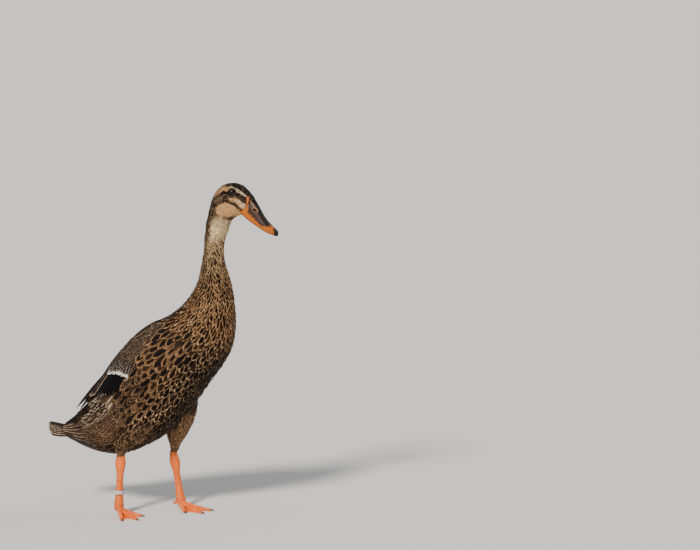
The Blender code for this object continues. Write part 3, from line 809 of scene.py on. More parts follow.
def walk(form, start, length, rows, bend):
    """Centre lines of vanes that follow the lie of the plumage over the form."""
    found, corners, weights = form.nearest(start)
    lines = [found]
    faces = [form.facing(corners, weights)]
    course = unit(form.read(form.lie, corners, weights))
    course = unit(course + np.cross(faces[0], course) * bend[:, None])
    for step in np.diff(rows):
        reach = length[:, None] * step
        here, normal = lines[-1], faces[-1]
        ahead = here + course * reach
        found, corners, weights = form.nearest(ahead)
        new_normal = form.facing(corners, weights)
        stuck = (far(found - here) < 0.7 * reach[:, 0]) | (dot(new_normal, normal) < 0.6)
        found = np.where(stuck[:, None], ahead, found)
        new_normal = np.where(stuck[:, None], normal, new_normal)
        lie = form.read(form.lie, corners, weights)
        lie = np.where(stuck[:, None], course, lie)
        lie = lie + np.cross(new_normal, lie) * bend[:, None]
        course = unit(course * 0.4 + unit(levelled(lie, new_normal)))
        lines.append(found)
        faces.append(new_normal)
    return np.stack(lines, 1), np.stack(faces, 1)


def laid(form, side, roots, tips, rows):
    """Centre lines from root to tip over the form, each end given as a body place and an angle."""
    t = np.asarray(rows)[None, :, None]
    way = roots[:, None] * (1 - t) + tips[:, None] * t
    spots = placed(surface(NECK_TOP + way[..., 0], side * np.radians(way[..., 1])))
    found, corners, weights = form.nearest(spots.reshape(-1, 3))
    normals = form.facing(corners, weights)
    return found.reshape(spots.shape), normals.reshape(spots.shape)


# How far along a free feather it leaves the way it grew.
KNEE = 0.45


def freed(form, side, roots, tips, tip_faces, rows):
    """Centre lines that leave the form at their roots and curve to free tips, drawn, with their faces."""
    starts = placed(surface(NECK_TOP + roots[:, 0], side * np.radians(roots[:, 1])))
    found, corners, weights = form.nearest(starts)
    first = form.facing(corners, weights)
    lie = unit(form.read(form.lie, corners, weights))
    ends = placed(tips)
    knee = found + lie * far(ends - found)[:, None] * KNEE
    t = np.asarray(rows)[None, :, None]
    lines = found[:, None] * (1 - t) ** 2 + knee[:, None] * 2 * t * (1 - t) + ends[:, None] * t ** 2
    normals = unit(first[:, None] * (1 - t) + unit(tip_faces)[:, None] * t)
    return lines, normals


# A vane's points nearer than this to the form are drawn on to it.
HUG_REACH = 3 * MM
# How far the sides of a vane's end lag behind its shaft, up to what length that and the ragged end grow with
# the vane, and how deep the root sinks, as a share of the plumage's depth.
TIP_BOW, LONGEST_RAGGED, LONGEST_BOWED, ROOT_SINK = 0.10, 20 * MM, 30 * MM, 0.96


class Bunch:
    """The vanes of one piece, gathered before its mesh is made."""

    def __init__(self, patch):
        self.patch = patch
        self.count = 0
        self.points, self.faces, self.vane, self.bake = [], [], [], []
        self.colours = {"Ground": [], "Mark": [], "Edge": []}

    def add(self, lines, normals, width, depth, grade, look, patches, rng, hug=None, shape=rounded,
            rough=0.08, camber=0.16, thick=0.16, swell=0.0):
        """Adds closed thin vanes along centre lines, with their maps and colours."""
        rows = np.array(ROWS[grade], float)
        wide, count = COLUMNS[grade], len(lines)
        if count == 0:
            return
        width, depth, swell = (np.broadcast_to(size, count)[:, None, None] for size in (width, depth, swell))
        across, t = np.linspace(-1, 1, wide), rows[:, None]
        run = unit(np.gradient(lines, axis=1))
        side = unit(np.cross(normals, run))
        ragged = rng.normal(0, rough, (count, 1, wide)) * smooth(t, 0.5, 1.0)
        span = shape(t) * across * width
        bow = -(t ** 3) * np.abs(across) ** 2 * TIP_BOW
        length = far(np.diff(lines, axis=1)).sum(1)[:, None, None]
        shift = ragged * np.minimum(length, LONGEST_RAGGED) + bow * np.minimum(length, LONGEST_BOWED)
        points = lines[:, :, None] + side[:, :, None] * span[..., None] + run[:, :, None] * shift[..., None]
        up = np.repeat(normals[:, :, None], wide, 2)
        if hug is not None:
            flat = points.reshape(-1, 3)
            found, _, _ = hug.nearest(flat)
            hold = (far(found - flat) < HUG_REACH)[:, None]
            points = np.where(hold, found, flat).reshape(points.shape)
        # Vanes rise from the skin at their roots to the form at their tips.
        height = -depth * (1 - t) ** 1.5 * ROOT_SINK
        height = height - camber * (across ** 2) * width * shape(t)
        height = height + rng.normal(0, 0.06, (count, 1, 1)) * depth + swell * smooth(t, 0, 0.6)
        upper = points + up * height[..., None]
        fat = thick * MM * (1 - across ** 2) * (1.15 - t)
        lower = (upper - up * fat[..., None])[:, 1:-1, 1:-1]
        verts = np.concatenate([upper.reshape(count, -1, 3), lower.reshape(count, -1, 3)], 1)
        face_set, per = vane_faces(len(rows), wide)
        local = np.stack(np.meshgrid(across * 0.5 + 0.5, rows), -1)
        local = np.concatenate([local.reshape(-1, 2), local[1:-1, 1:-1].reshape(-1, 2)])
        starts = self.count + np.arange(count) * per
        self.faces.append((face_set[None] + starts[:, None, None]).reshape(-1, 4))
        self.points.append(verts.reshape(-1, 3))
        self.vane.append(np.tile(local, (count, 1)))
        self.bake.append((patches[:, None, :] + (local[None] - 0.5) * self.patch).reshape(-1, 2))
        for key, value in look.items():
            self.colours[key].append(np.repeat(value, per, 0))
        self.count += count * per

    def build(self, name, material, slot):
        """Makes the piece, which rides on the duck's body."""
        held = {key: np.concatenate(value) for key, value in self.colours.items()}
        maps = {"OFBake": np.concatenate(self.bake), "Vane": np.concatenate(self.vane)}
        obj = mesh_from(name, np.concatenate(self.points), np.concatenate(self.faces), maps, held)
        obj.data.materials.append(material)
        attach(obj, "root")
        return obj


def vane_colours(ground, mark, edge, start, size, loop):
    """Point colours that the feather material reads: each holds a colour and one size."""
    pairs = {"Ground": (ground, start), "Mark": (mark, size), "Edge": (edge, loop)}
    return {key: with_alpha(*pair) for key, pair in pairs.items()}


def same_colours(count, rng, ground, mark, edge, start, size, loop=0.0, vary=0.08):
    """Point colours for a row of like feathers. A loop of -1 leaves the pale rim at the tip alone."""
    shade = rng.normal(1, vary, (count, 1))
    ground, edge = (np.clip(colour * shade, 0, 1) for colour in (ground, edge))
    return vane_colours(ground, np.tile(mark, (count, 1)), edge, start, size, loop)


def patch(across, down):
    """Middle of a vane's patch in its unwrap, from shares across and down it."""
    return beside(0.02 + 0.96 * np.clip(across, 0, 1), 0.02 + 0.96 * np.clip(down, 0, 1))


def bake_patch(u, deg):
    """Middle of a vane's patch on an unwrap of the skin by place and angle."""
    return patch(deg / 180, u / 30)


# Materials.

class Value:
    """A number in a material's tree, which is reckoned with like any other."""

    def __init__(self, make, socket):
        self.make, self.socket = make, socket

    def __add__(self, other):
        return self.make.math("ADD", self, other)

    def __sub__(self, other):
        return self.make.math("SUBTRACT", self, other)

    def __rsub__(self, other):
        return self.make.math("SUBTRACT", other, self)

    def __mul__(self, other):
        return self.make.math("MULTIPLY", self, other)

    def __truediv__(self, other):
        return self.make.math("DIVIDE", self, other)

    def __abs__(self):
        return self.make.math("ABSOLUTE", self)


class Recipe:
    """Builds one material, a call for each of its nodes."""

    def __init__(self, name):
        self.material = bpy.data.materials.new(name)
        self.material.use_nodes = True
        self.tree = self.material.node_tree
        self.shader = self.tree.nodes["Principled BSDF"]

    def node(self, kind, inputs=(), **settings):
        fresh = self.tree.nodes.new(kind)
        for key, value in settings.items():
            setattr(fresh, key, value)
        for socket, value in dict(inputs).items():
            self.feed(fresh.inputs[socket], value)
        return fresh

    def feed(self, socket, value):
        value = getattr(value, "socket", value)
        if isinstance(value, bpy.types.NodeSocket):
            self.tree.links.new(value, socket)
        elif isinstance(value, (tuple, list, np.ndarray)) and socket.type == "RGBA":
            socket.default_value = (*[float(v) for v in value[:3]], 1.0)
        else:
            socket.default_value = value

    def math(self, operation, *values):
        fresh = self.node("ShaderNodeMath", enumerate(values), operation=operation)
        return Value(self, fresh.outputs[0])

    def mix(self, share, first, second, way="MIX"):
        inputs = {0: share, 6: first, 7: second}
        return self.node("ShaderNodeMix", inputs, data_type="RGBA", blend_type=way).outputs[2]

    def ease(self, value, low, high, out_low=0.0, out_high=1.0):
        fresh = self.node("ShaderNodeMapRange", interpolation_type="SMOOTHSTEP")
        for i, number in enumerate((value, low, high, out_low, out_high)):
            self.feed(fresh.inputs[i], number)
        return Value(self, fresh.outputs[0])

    def attribute(self, name):
        """Colour and alpha of the point colours with a name."""
        outputs = self.node("ShaderNodeAttribute", attribute_name=name).outputs
        return outputs["Color"], Value(self, outputs["Alpha"])

    def split(self, vector):
        return [Value(self, part) for part in self.node("ShaderNodeSeparateXYZ", {0: vector}).outputs]

    def noise(self, vector, scale, detail=3.0, roughness=0.55):
        inputs = {"Vector": vector, "Scale": scale, "Detail": detail, "Roughness": roughness}
        return Value(self, self.node("ShaderNodeTexNoise", inputs).outputs["Fac"])

    def cells(self, vector, scale, feature="DISTANCE_TO_EDGE"):
        fresh = self.node("ShaderNodeTexVoronoi", {"Vector": vector, "Scale": scale}, feature=feature)
        return Value(self, fresh.outputs["Distance"])

    def shaded(self, colour, shade):
        """A colour times a grey."""
        grey = self.node("ShaderNodeCombineColor", {0: shade, 1: shade, 2: shade}).outputs[0]
        return self.mix(1.0, colour, grey, "MULTIPLY")

    def place(self):
        return self.node("ShaderNodeNewGeometry").outputs["Position"]

    def bump(self, height, strength, distance):
        fresh = self.node("ShaderNodeBump", {"Strength": strength, "Distance": distance, "Height": height})
        self.feed(self.shader.inputs["Normal"], fresh.outputs[0])

    def finish(self, colour, roughness, **others):
        self.feed(self.shader.inputs["Base Color"], colour)
        self.feed(self.shader.inputs["Roughness"], roughness)
        for key, value in others.items():
            self.feed(self.shader.inputs[key.replace("_", " ")], value)
        return self.material


# How slantwise and how close the barbs run, how far frayed and wandering outlines reach, and how far outside
# the mark a loop runs and how wide it is.
BARB_SLANT, BARB_COUNT = 0.16, 190.0
FRAY, SEED_WANDER = 0.44, 0.3
LOOP_GAP, LOOP_WIDTH = 0.24, 0.08


def feather_material(name, roughness, barb_share, shaft, shaft_share, root_shade):
    """Vane colours from the point colours: ground, dark mark, loop, edge, shaft, the barbs' fine lines and
    painted root shade.
    """
    make = Recipe(name)
    (ground, start), (mark, size), (edge, loop) = (make.attribute(k) for k in ("Ground", "Mark", "Edge"))
    side, v, _ = make.split(make.node("ShaderNodeUVMap", uv_map="Vane").outputs[0])
    off = abs(side * 2.0 - 1.0)
    # Barbs run slantwise from the shaft to the rim.
    slant = v - off * BARB_SLANT
    fray = make.noise(make.node("ShaderNodeCombineXYZ", {0: off, 1: slant * 22.0}).outputs[0], 1.6, 2.0)
    seed = make.noise(make.place(), 260.0, 2.0)
    wander = fray * FRAY + seed * SEED_WANDER - (FRAY + SEED_WANDER) / 2
    tip = make.math("MAXIMUM", v - start, 0.0) / (1.001 - start)
    across, along = off * off, tip * tip
    reach = make.math("SQRT", across + along) + wander
    # A loop below nought leaves the pale rim at the tip alone.
    narrow = 1.0 - make.math("MAXIMUM", loop * -1.0, 0.0) * 0.85
    rim = make.ease(make.math("SQRT", across * narrow + along) + wander, 0.74, 0.95)
    inside = make.ease(reach - size, 0.07, -0.07)
    ring = make.math("MAXIMUM", loop, 0.0)
    band = make.ease(abs(reach - size - LOOP_GAP) - ring * LOOP_WIDTH, 0.06, 0.0)
    marked = make.math("MAXIMUM", inside, band * make.math("MINIMUM", ring * 3.0, 1.0))
    colour = make.mix(marked, make.mix(rim, ground, edge), mark)
    colour = make.mix(make.ease(off, 0.07, 0.03, 0.0, shaft_share), colour, shaft)
    barbs = make.math("SINE", slant * BARB_COUNT)
    shade = (fray * 0.9 + barbs * 0.12) * barb_share + (1.0 - 0.45 * barb_share)
    # Painted shade: each vane darkens towards its root, where the feathers in front would shade it.
    colour = make.shaded(colour, shade * make.ease(v, 0.15, 0.72, root_shade, 1.0))
    make.bump(fray + barbs * 0.25, 0.35, 0.0004)
    return make.finish(colour, roughness, Specular_IOR_Level=0.08)


def skin_material():
    """Down and feather bases under the coat, with the coat's own markings."""
    make = Recipe("skin_down")
    colour, _ = make.attribute("Plumage")
    streak = make.noise(make.place(), 420.0)
    colour = make.mix(make.ease(streak, 0.35, 0.65), make.mix(0.45, colour, (0.02, 0.014, 0.01)), colour)
    make.bump(streak, 0.5, 0.0008)
    return make.finish(colour, 0.85)


def leg_material(bare):
    """Orange scaly skin: cross plates down the front and toes, a net of small scales elsewhere, and painted
    shade underneath.
    """
    make = Recipe("leg_skin")
    where = make.place()
    phase, plated, under = make.split(make.attribute("Plates")[0])
    groove = make.ease(abs(make.math("FRACT", phase) - 0.5), 0.34, 0.47) * plated
    net = make.ease(make.cells(where, 560.0), 0.02, 0.2)
    dent = make.math("MAXIMUM", groove, (1.0 - net) * (1.0 - plated) * 0.8)
    broad, fine = make.noise(where, 55.0), make.noise(where, 1100.0, 2.0)
    deep, pale = np.array(bare.leg_orange), np.array(bare.leg_pale)
    colour = make.mix(make.ease(broad, 0.35, 0.65), deep * 0.85, deep * 1.12)
    colour = make.mix(make.ease(make.noise(where, 260.0), 0.52, 0.7, 0.0, 0.6), colour, pale)
    colour = make.mix(make.ease(fine, 0.55, 0.75, 0.0, 0.45), colour, pale * 1.15)
    colour = make.mix(dent * 0.6, colour, deep * (0.38, 0.28, 0.3))
    # Painted shade on the undersides of the toes and webs near the floor.
    colour = make.mix(under, colour, deep * (0.5, 0.42, 0.5))
    make.bump(fine * 0.3 - dent, 0.6, 0.0004)
    return make.finish(colour, make.ease(broad, 0.3, 0.7, 0.42, 0.58), Specular_IOR_Level=0.4)


def bill_material():
    """Horn with the bill's coloured zones, darker clouds, fine pores in its bumps and a gloss that grows with
    the tint's alpha.
    """
    make = Recipe("bill_horn")
    where = make.place()
    tint, gloss = make.attribute("Tint")
    cloud, grain = make.noise(where, 170.0, 4.0, 0.6), make.noise(where, 900.0, 3.0, 0.6)
    colour = make.shaded(tint, (cloud * 0.7 + 0.65) * (grain * 0.5 + 0.75))
    colour = make.mix(make.ease(cloud, 0.56, 0.72, 0.0, 0.25), colour, tone("3a2a24"))
    make.bump(grain + make.cells(where, 1500.0, "F1") * 0.6, 0.25, 0.0002)
    return make.finish(colour, grain * 0.2 + 0.4 - gloss * 0.2, Specular_IOR_Level=0.2)


def eye_material():
    """A dark wet eye: pupil and iris by the tint, fine spokes in the iris, and a clear coat."""
    make = Recipe("eye_wet")
    spokes = make.noise(make.place(), 1400.0, 2.0)
    colour = make.shaded(make.attribute("Tint")[0], spokes * 0.5 + 0.75)
    return make.finish(colour, make.ease(spokes, 0.0, 1.0, 0.3, 0.4), Specular_IOR_Level=0.15,
                       Coat_Weight=0.5, Coat_Roughness=0.03, Coat_IOR=1.36)


def horn_material(name, scale, contrast, bumps, roughness, **others):
    """A piece's own tint with fine lines or folds, for lids and claws."""
    make = Recipe(name)
    grain = make.noise(make.place(), scale)
    colour = make.shaded(make.attribute("Tint")[0], grain * contrast + (1.0 - contrast / 2))
    make.bump(grain, bumps, 0.0002)
    return make.finish(colour, grain * 0.2 + roughness, **others)


def band_material(colour):
    """Worn pale plastic with faint scratches and a little grime."""
    make = Recipe("band_plastic")
    where = make.place()
    drawn_out = make.node("ShaderNodeMapping", {"Vector": where, "Scale": (300, 300, 4000)}).outputs[0]
    scratch, grime = make.noise(drawn_out, 1.0, 2.0), make.noise(where, 240.0, 4.0)
    tinted = make.mix(make.ease(grime, 0.5, 0.75, 0.0, 0.5), tuple(colour), tone("6f665c"))
    tinted = make.mix(make.ease(scratch, 0.6, 0.8, 0.0, 0.35), tinted, tone("e8e6e2"))
    make.bump(scratch, 0.2, 0.0001)
    return make.finish(tinted, make.ease(grime, 0.3, 0.7, 0.35, 0.55))


# Sizes and colours that a user may change.

def amount(name, description, default, **others):
    return FloatProperty(name=name, description=description, default=default, **others)


def swatch(name, description, colour):
    return FloatVectorProperty(name=name, description=description, size=3, subtype="COLOR",
                               default=tuple(colour))


class RunnerSkin(bpy.types.PropertyGroup):
    """How finely the skin is made."""

    body_grain: amount("Body grain", "How finely the skin is grown together", 1.8 * MM, unit="LENGTH")
    leg_grain: amount("Leg grain", "How finely the legs are grown together", 0.5 * MM, unit="LENGTH")
    seed: IntProperty(name="Seed", description="Start of the random draws", default=7)


class RunnerPlumage(bpy.types.PropertyGroup):
    """How close and how long the feathers are."""

    closeness: amount("Closeness", "Distance between body feathers as a share", 1.0, min=0.7, max=2.0)
    body_patch: amount("Body patch", "Width of a body feather in its unwrap", 0.0035, min=0.001, max=0.02)
    wing_patch: amount("Wing patch", "Width of a long feather in its unwrap", 0.03, min=0.001, max=0.05)
    pieces: IntProperty(name="Pieces", description="Pieces that share each side's body feathers", default=4)


class RunnerBareParts(bpy.types.PropertyGroup):
    """Colours of the bill, eyes, legs and band."""

    bill_orange: swatch("Bill orange", "Base, edges and front of the bill", tone("ae5a0c"))
    bill_saddle: swatch("Bill saddle", "Brown slate of the bill's back", tone("331d15"))
    iris: swatch("Iris", "Colour of the iris", tone("1e0f08"))
    leg_orange: swatch("Leg orange", "Colour of the legs and webs", tone("f06a12"))
    leg_pale: swatch("Leg flecks", "Colour of the pale scales", tone("f09c58"))
    band: swatch("Band", "Colour of the leg band", tone("b9b7b2"))


class RunnerStudio(bpy.types.PropertyGroup):
    """The floor and the lights."""

    floor: swatch("Floor", "Colour of the floor", (0.74, 0.73, 0.71))
    key: amount("Main light", "Strength of the main light", 4.6)
    rim: amount("Rim light", "Strength of the light from behind", 0.8)
    sky: amount("Sky", "Strength of the light from all round", 0.42)


SETTINGS = {"skin": RunnerSkin, "plumage": RunnerPlumage, "bare": RunnerBareParts, "studio": RunnerStudio}


def setting(name):
    return getattr(bpy.context.scene, "runner_" + name)


# The skin, with the bare legs.

SIDES = {"right": -1, "left": 1}
HOCKS = {"right": (-31.5, -38, 79), "left": (26, 36.5, 72)}
ANKLES = {"right": (-34.5, -38, 19), "left": (35, 36.5, 17)}
FOOT_TURN = {"right": -38, "left": -32}
# Front toes: turn from the foot's middle line, length, radius at the root and at the tip.
TOES = {"inner": (-26, 41, 3.7, 2.3), "middle": (0, 55, 4.0, 2.3), "outer": (24, 52, 3.7, 2.3)}
# Distance between the cross plates of the toes and of the shanks.
TOE_PITCH, SHANK_PITCH = 2.4, 3.0
# How much the solids are swollen before they are grown together, and how deep the skin lies under the bill.
SKIN_SWELL, LEG_SWELL = 0.35, 0.3
BILL_INSET = 3.5
# The wings' solids are cut off at this place for the skin, and the bill is only above this height.
WING_CUT, BILL_ABOVE = (-90, 0, 150), 0.42


def toe_way(side, toe):
    """Direction of a toe over the floor."""
    turn = math.radians(FOOT_TURN[side] + SIDES[side] * TOES[toe][0])
    return np.array([math.cos(turn), math.sin(turn)])


def leg_plates(points, normals):
    """Count of cross plates passed at each point of the legs, and how much they show."""
    here = drawn(points)
    phase, shown = np.zeros(len(here)), np.zeros(len(here))
    for side in SIDES:
        mine = (here[:, 1] > 0) == (side == "left")
        ankle, hock = np.array(ANKLES[side], float), np.array(HOCKS[side], float)
        for toe, (_, length, root, tip) in TOES.items():
            way = toe_way(side, toe)
            offset = here[:, :2] - ankle[:2]
            along = offset @ way
            aside = np.abs(offset[:, 0] * way[1] - offset[:, 1] * way[0])
            radius = root + (tip - root) * np.clip(along / length, 0, 1)
            mask = smooth(aside / radius, 1.25, 0.85) * smooth(normals[:, 2], 0.05, 0.5)
            mask = mask * smooth(along, 3, 7) * mine * (along < length + 2) * (here[:, 2] < 18)
            phase = np.where(mask > shown, along / TOE_PITCH, phase)
            shown = np.maximum(shown, mask)
        axis = unit(ankle - hock)
        offset = here - hock
        along = offset @ axis
        front = np.array([*toe_way(side, "middle"), 0])
        mask = smooth(normals @ front, 0.35, 0.7) * mine * smooth(here[:, 2], 17, 21)
        phase = np.where(mask > shown, along / SHANK_PITCH, phase)
        shown = np.maximum(shown, mask)
    return phase, shown


def plated_legs(bare, grain):
    """The bare legs and webbed feet as one fine mesh, with cross plates raised on it."""
    legs = remeshed(swollen_join("legs", LEG_PIECES, LEG_SWELL * MM), grain, 2)
    points, normals = mesh_points(legs.data), mesh_normals(legs.data)
    phase, shown = leg_plates(points, normals)
    seam = np.abs(phase - np.floor(phase) - 0.5) * 2
    rise = (0.10 * (1 - seam ** 2) - 0.24 * smooth(seam, 0.62, 0.95)) * shown
    knob = np.sin(points / MM @ (2.1, 1.3, 1.7)) * np.sin(points / MM @ (-1.1, 2.3, 1.9))
    rise = rise + 0.05 * knob * (1 - shown)
    raised = points + normals * rise[:, None] * MM
    raised[:, 2] = np.maximum(raised[:, 2], 0)
    set_mesh_points(legs.data, raised)
    # Painted shade: skin that faces down near the floor is marked to be darker.
    under = smooth(normals[:, 2], -0.3, -0.7) * smooth(drawn(points)[:, 2], 12, 6)
    colours = np.column_stack([phase, shown, under * 0.5, np.ones(len(points))])
    set_point_colours(legs.data, "Plates", colours)
    legs.data.materials.append(leg_material(bare))
    legs.data.shade_smooth()
    return legs


class RUNNER_OT_skin(bpy.types.Operator):
    """Grow one skin over all the flesh, inside the plumage by its depth, with the bare legs on it"""

    bl_idname = "runner.skin"
    bl_label = "Skin and legs"

    def execute(self, context):
        opts = setting("skin")
        cut = (Vector(placed(WING_CUT)), Vector((-1, 0, 0)))
        trim = {"wing_left": cut, "wing_right": cut}
        swell = SKIN_SWELL * MM
        body = swollen_join("duck_skin", (*FLESH, "shank_right", "shank_left"), swell, trim)
        remeshed(body, opts.body_grain, 3)
        form = Form(body.data)
        made["form"] = form
        rng = np.random.default_rng(opts.seed)
        style = Style(form, form.points, *form.own_points(), rng)
        # Below the feathered thighs the finer legs stand clear of this skin.
        under_bill = smooth(bill_margin(*bill_view(form.points)), -1.5, 0.8)
        under_bill = under_bill * (form.points[:, 2] > BILL_ABOVE)
        inset = spread(form.edges, (style.depth + swell + under_bill * BILL_INSET * MM)[:, None], 4)
        set_mesh_points(body.data, form.points - form.normals * inset)
        plumage = blend(style.ground, style.mark, 0.4)
        set_point_colours(body.data, "Plumage", with_alpha(plumage))
        body.data.shade_smooth()
        body.data.materials.append(skin_material())
        legs = plated_legs(setting("bare"), opts.leg_grain)
        with context.temp_override(active_object=body, object=body, selected_editable_objects=[body, legs]):
            bpy.ops.object.join()
        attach(body, "root")
        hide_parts(*FLESH, *LEG_PIECES)
        return {"FINISHED"}


# The body's feathers.

# Heights, drawn: no feathers below the first, and the bill only above the second. Radius of the bare eye and
# how far its middle lies outwards. How far feathers start off the bill.
BARE_BELOW, HEAD_ABOVE, EYE_BARE, EYE_OUT, OFF_BILL = 88, 440, 4.6, 3.5, 0.2
# The ends of the wings stand proud of the body by more than this, behind this place forward.
WING_END_PROUD, WING_END_BEHIND = 2.5, -84


def bare_skin(points, style):
    """Where no body feather grows: the legs, the eyes, the bill and under the long wing feathers."""
    here = drawn(points)
    bare = here[:, 2] < BARE_BELOW
    for side in (1, -1):
        bare |= far(here - drawn(eye_centre(side, EYE_OUT))) < EYE_BARE
    forward, aside, rise = bill_view(points)
    off_bill = (bill_margin(forward, aside, rise) < OFF_BILL) & (forward < 0.158 * rise - 3.6)
    bare |= ~off_bill & (here[:, 2] > HEAD_ABOVE)
    bare |= quill_area(style.body, style.deg)
    bare |= (wing_share(style.body, style.deg) > 0.5) & (style.body > COVERT_FROM)
    bare |= style.body > TAIL_COVERTS_FROM
    bare |= (style.proud > WING_END_PROUD) & (here[:, 0] < WING_END_BEHIND)
    return bare


# On the trunk each feather shows longer than wide. The lie runs roughly this way there.
TRUNK_LIE = (-0.72, 0, -0.69)
LONGER = 1.7
LONGER_FROM, LONGEST_FROM = -350.0, -290.0


def squeeze(points):
    """Space in which roots are spread evenly: pressed together along the lie, up to the lower neck."""
    here = drawn(points)
    along = here @ np.array(TRUNK_LIE)
    steps = np.linspace(LONGER_FROM, 100, 400)
    slope = 1 - (1 - 1 / LONGER) * smooth(steps, LONGER_FROM, LONGEST_FROM)
    gone = np.concatenate([[0], np.cumsum((slope[1:] + slope[:-1]) / 2 * np.diff(steps))])
    pressed = np.where(along > LONGER_FROM, np.interp(along, steps, gone) + LONGER_FROM, along)
    return here + np.array(TRUNK_LIE) * (pressed - along)[:, None]


# Spots drawn for each root, rounds in which roots move to the middle of their spots, and the area that a
# root has to itself when its neighbours stand at a distance of one.
SPOTS, SETTLING_ROUNDS, OWN_AREA = 14, 7, 0.866


def scatter(form, rng, closeness):
    """Roots spread evenly over the form at the spacing that each place asks for."""
    a, b, c, d = (form.points[form.quads[:, k]] for k in range(4))
    area = (far(np.cross(b - a, c - a)) + far(np.cross(c - a, d - a))) / 2
    at_points = Style(form, form.points, *form.own_points(), rng)
    space = spacing_at(at_points)[form.quads].mean(1) * closeness
    bare = bare_skin(form.points, at_points)[form.quads].mean(1) > 0.5
    share = np.where(bare, 0, area / (OWN_AREA * space ** 2))
    count = int(share.sum())
    picks = rng.choice(len(share), size=count * SPOTS, p=share / share.sum())
    s, t = rng.random((2, len(picks), 1))
    spots = (a[picks] * (1 - s) + b[picks] * s) * (1 - t) + (d[picks] * (1 - s) + c[picks] * s) * t
    weight = 1 / space[picks] ** 2
    roots = spots[rng.choice(len(spots), size=count, replace=False)]
    squeezed = squeeze(spots)
    for _ in range(SETTLING_ROUNDS):
        tree = tree_of(squeeze(roots))
        owner = np.array([tree.find(point)[1] for point in squeezed.tolist()])
        total = np.zeros(count)
        np.add.at(total, owner, weight)
        sums = np.zeros((count, 3))
        np.add.at(sums, owner, spots * weight[:, None])
        roots = np.where(total[:, None] > 0, sums / np.maximum(total, 1e-12)[:, None], roots)
    found, corners, weights = form.nearest(roots)
    return found, Style(form, found, corners, weights, rng)


def feather_length(body, space):
    """Length of body feathers: several times their spacing, and more over and under the tail."""
    length = space * ramp(space / MM, ((1.3, 4.2), (2.6, 3.7), (4, 3.2), (8, 2.9), (14, 2.7)))
    return length * (1 + smooth(body, 14.2, 15.2) * 0.6)


def feather_width(space):
    return space * ramp(space / MM, ((1.3, 0.5), (2.6, 0.47), (4, 0.53), (8, 0.56), (14, 0.58)))


def limb_patch(limb, points):
    """Middle of a thigh feather's patch on an unwrap round and down the thigh."""
    here = drawn(points)
    out = np.empty((len(here), 2))
    for left, stations in enumerate(THIGHS):
        mine = (here[:, 1] > 0) == bool(left)
        core = between(stations, limb)[:, :2]
        turn = np.arctan2(here[:, 1] - core[:, 1], here[:, 0] - core[:, 0])
        out[mine] = beside(0.5 + turn / (2 * math.pi) * 0.94, 0.02 + 0.94 * limb / 7)[mine]
    return out


# Below this spacing vanes are small, and on the head down to this place they are the finest.
SMALL_SPACING, FINEST_TO = 4.3 * MM, 11.5


class RUNNER_OT_plumage(bpy.types.Operator):
    """Cover the head, neck, body and thighs in feathers that follow their lie"""

    bl_idname = "runner.plumage"
    bl_label = "Body feathers"

    def execute(self, context):
        form, opts = made["form"], setting("plumage")
        rng = np.random.default_rng(setting("skin").seed + 1)
        roots, style = scatter(form, rng, opts.closeness)
        space = spacing_at(style) * opts.closeness
        left = roots[:, 1] > MOVED[1]
        limb = style.limb > LIMB_FEATHERS
        bunches = {}
        for side in SIDES:
            for part in range(opts.pieces):
                bunches[side, part] = Bunch(opts.body_patch)
            bunches[side, "thigh"] = Bunch(opts.body_patch * 2)
        small = space < SMALL_SPACING
        fine = (style.u < FINEST_TO) & small
        for grade, pick in (("fine", fine), ("middle", small & ~fine), ("large", ~small)):
            index = np.flatnonzero(pick)
            here = space[index]
            length = feather_length(style.body[index], here) * rng.normal(1, 0.06, len(index))
            bend = rng.normal(0, 0.06, len(index))
            lines, normals = walk(form, roots[index], length, ROWS[grade], bend)
            # The part of a vane that shows is its tip, so that its colours are those of that place.
            tips, corners, weights = form.nearest(lines[:, -2])
            worn = Style(form, tips, corners, weights, rng)
            colours = vane_colours(worn.ground, worn.mark, worn.edge, worn.round, worn.size, worn.loop)
            spots = bake_patch(style.u[index], style.deg[index])
            on_limb = limb[index]
            spots[on_limb] = limb_patch(style.limb[index], roots[index])[on_limb]
            swell = swell_at(worn)
            for side in SIDES:
                mine = left[index] == (side == "left")
                for part in (*range(opts.pieces), "thigh"):
                    chosen = mine & (on_limb if part == "thigh" else ~on_limb & (index % opts.pieces == part))
                    some = np.flatnonzero(chosen)
                    look = {key: value[some] for key, value in colours.items()}
                    bunches[side, part].add(lines[some], normals[some], feather_width(here[some]),
                                            worn.depth[some], grade, look, spots[some], rng,
                                            hug=form if grade != "fine" else None, swell=swell[some],
                                            shape=downy if grade == "fine" else rounded)
        self.cover_ridge(bunches["right", 0], rng)
        look = feather_material("body_feather", 0.62, 0.8, tone("1d140e"), 0.0, 0.45)
        for (side, part), bunch in bunches.items():
            bunch.build("plumage_%s_%s" % (side, part if part == "thigh" else part + 1), look, "plumage")
        return {"FINISHED"}

    def cover_ridge(self, bunch, rng):
        """The small dark feathers that run from the crown on to the bill's ridge."""
        forward, aside = np.meshgrid(np.arange(-6.0, 7.6, 1.1), np.arange(-4.4, 4.5, 1.1))
        forward = forward.ravel() + rng.normal(0, 0.25, forward.size)
        aside = aside.ravel() + rng.normal(0, 0.25, aside.size)
        keep = np.abs(aside) < ramp(forward, BILL_WEDGE)
        forward, aside = forward[keep], aside[keep]
        t = np.array(ROWS["fine"])
        way = forward[:, None] - 4.5 * t
        side = aside[:, None] * (1 + 0.25 * t)
        rise = ridge_height(way, side) + 0.5 + 0.15 * t
        lines = bill_points(way, side, rise)
        above = bill_points(way, side * 1.12, rise + 1)
        colours = same_colours(len(forward), rng, CROWN, CROWN * 0.6, CROWN * 1.3, 0.9, 0.3, vary=0.25)
        spots = bake_patch(ramp(forward, ((-6, 1.0), (8, 0.1))), 2 + 6 * np.abs(aside))
        bunch.add(lines, unit(above - lines), 0.75 * MM, 0.7 * MM, "fine", colours, spots, rng)


# The folded wings.

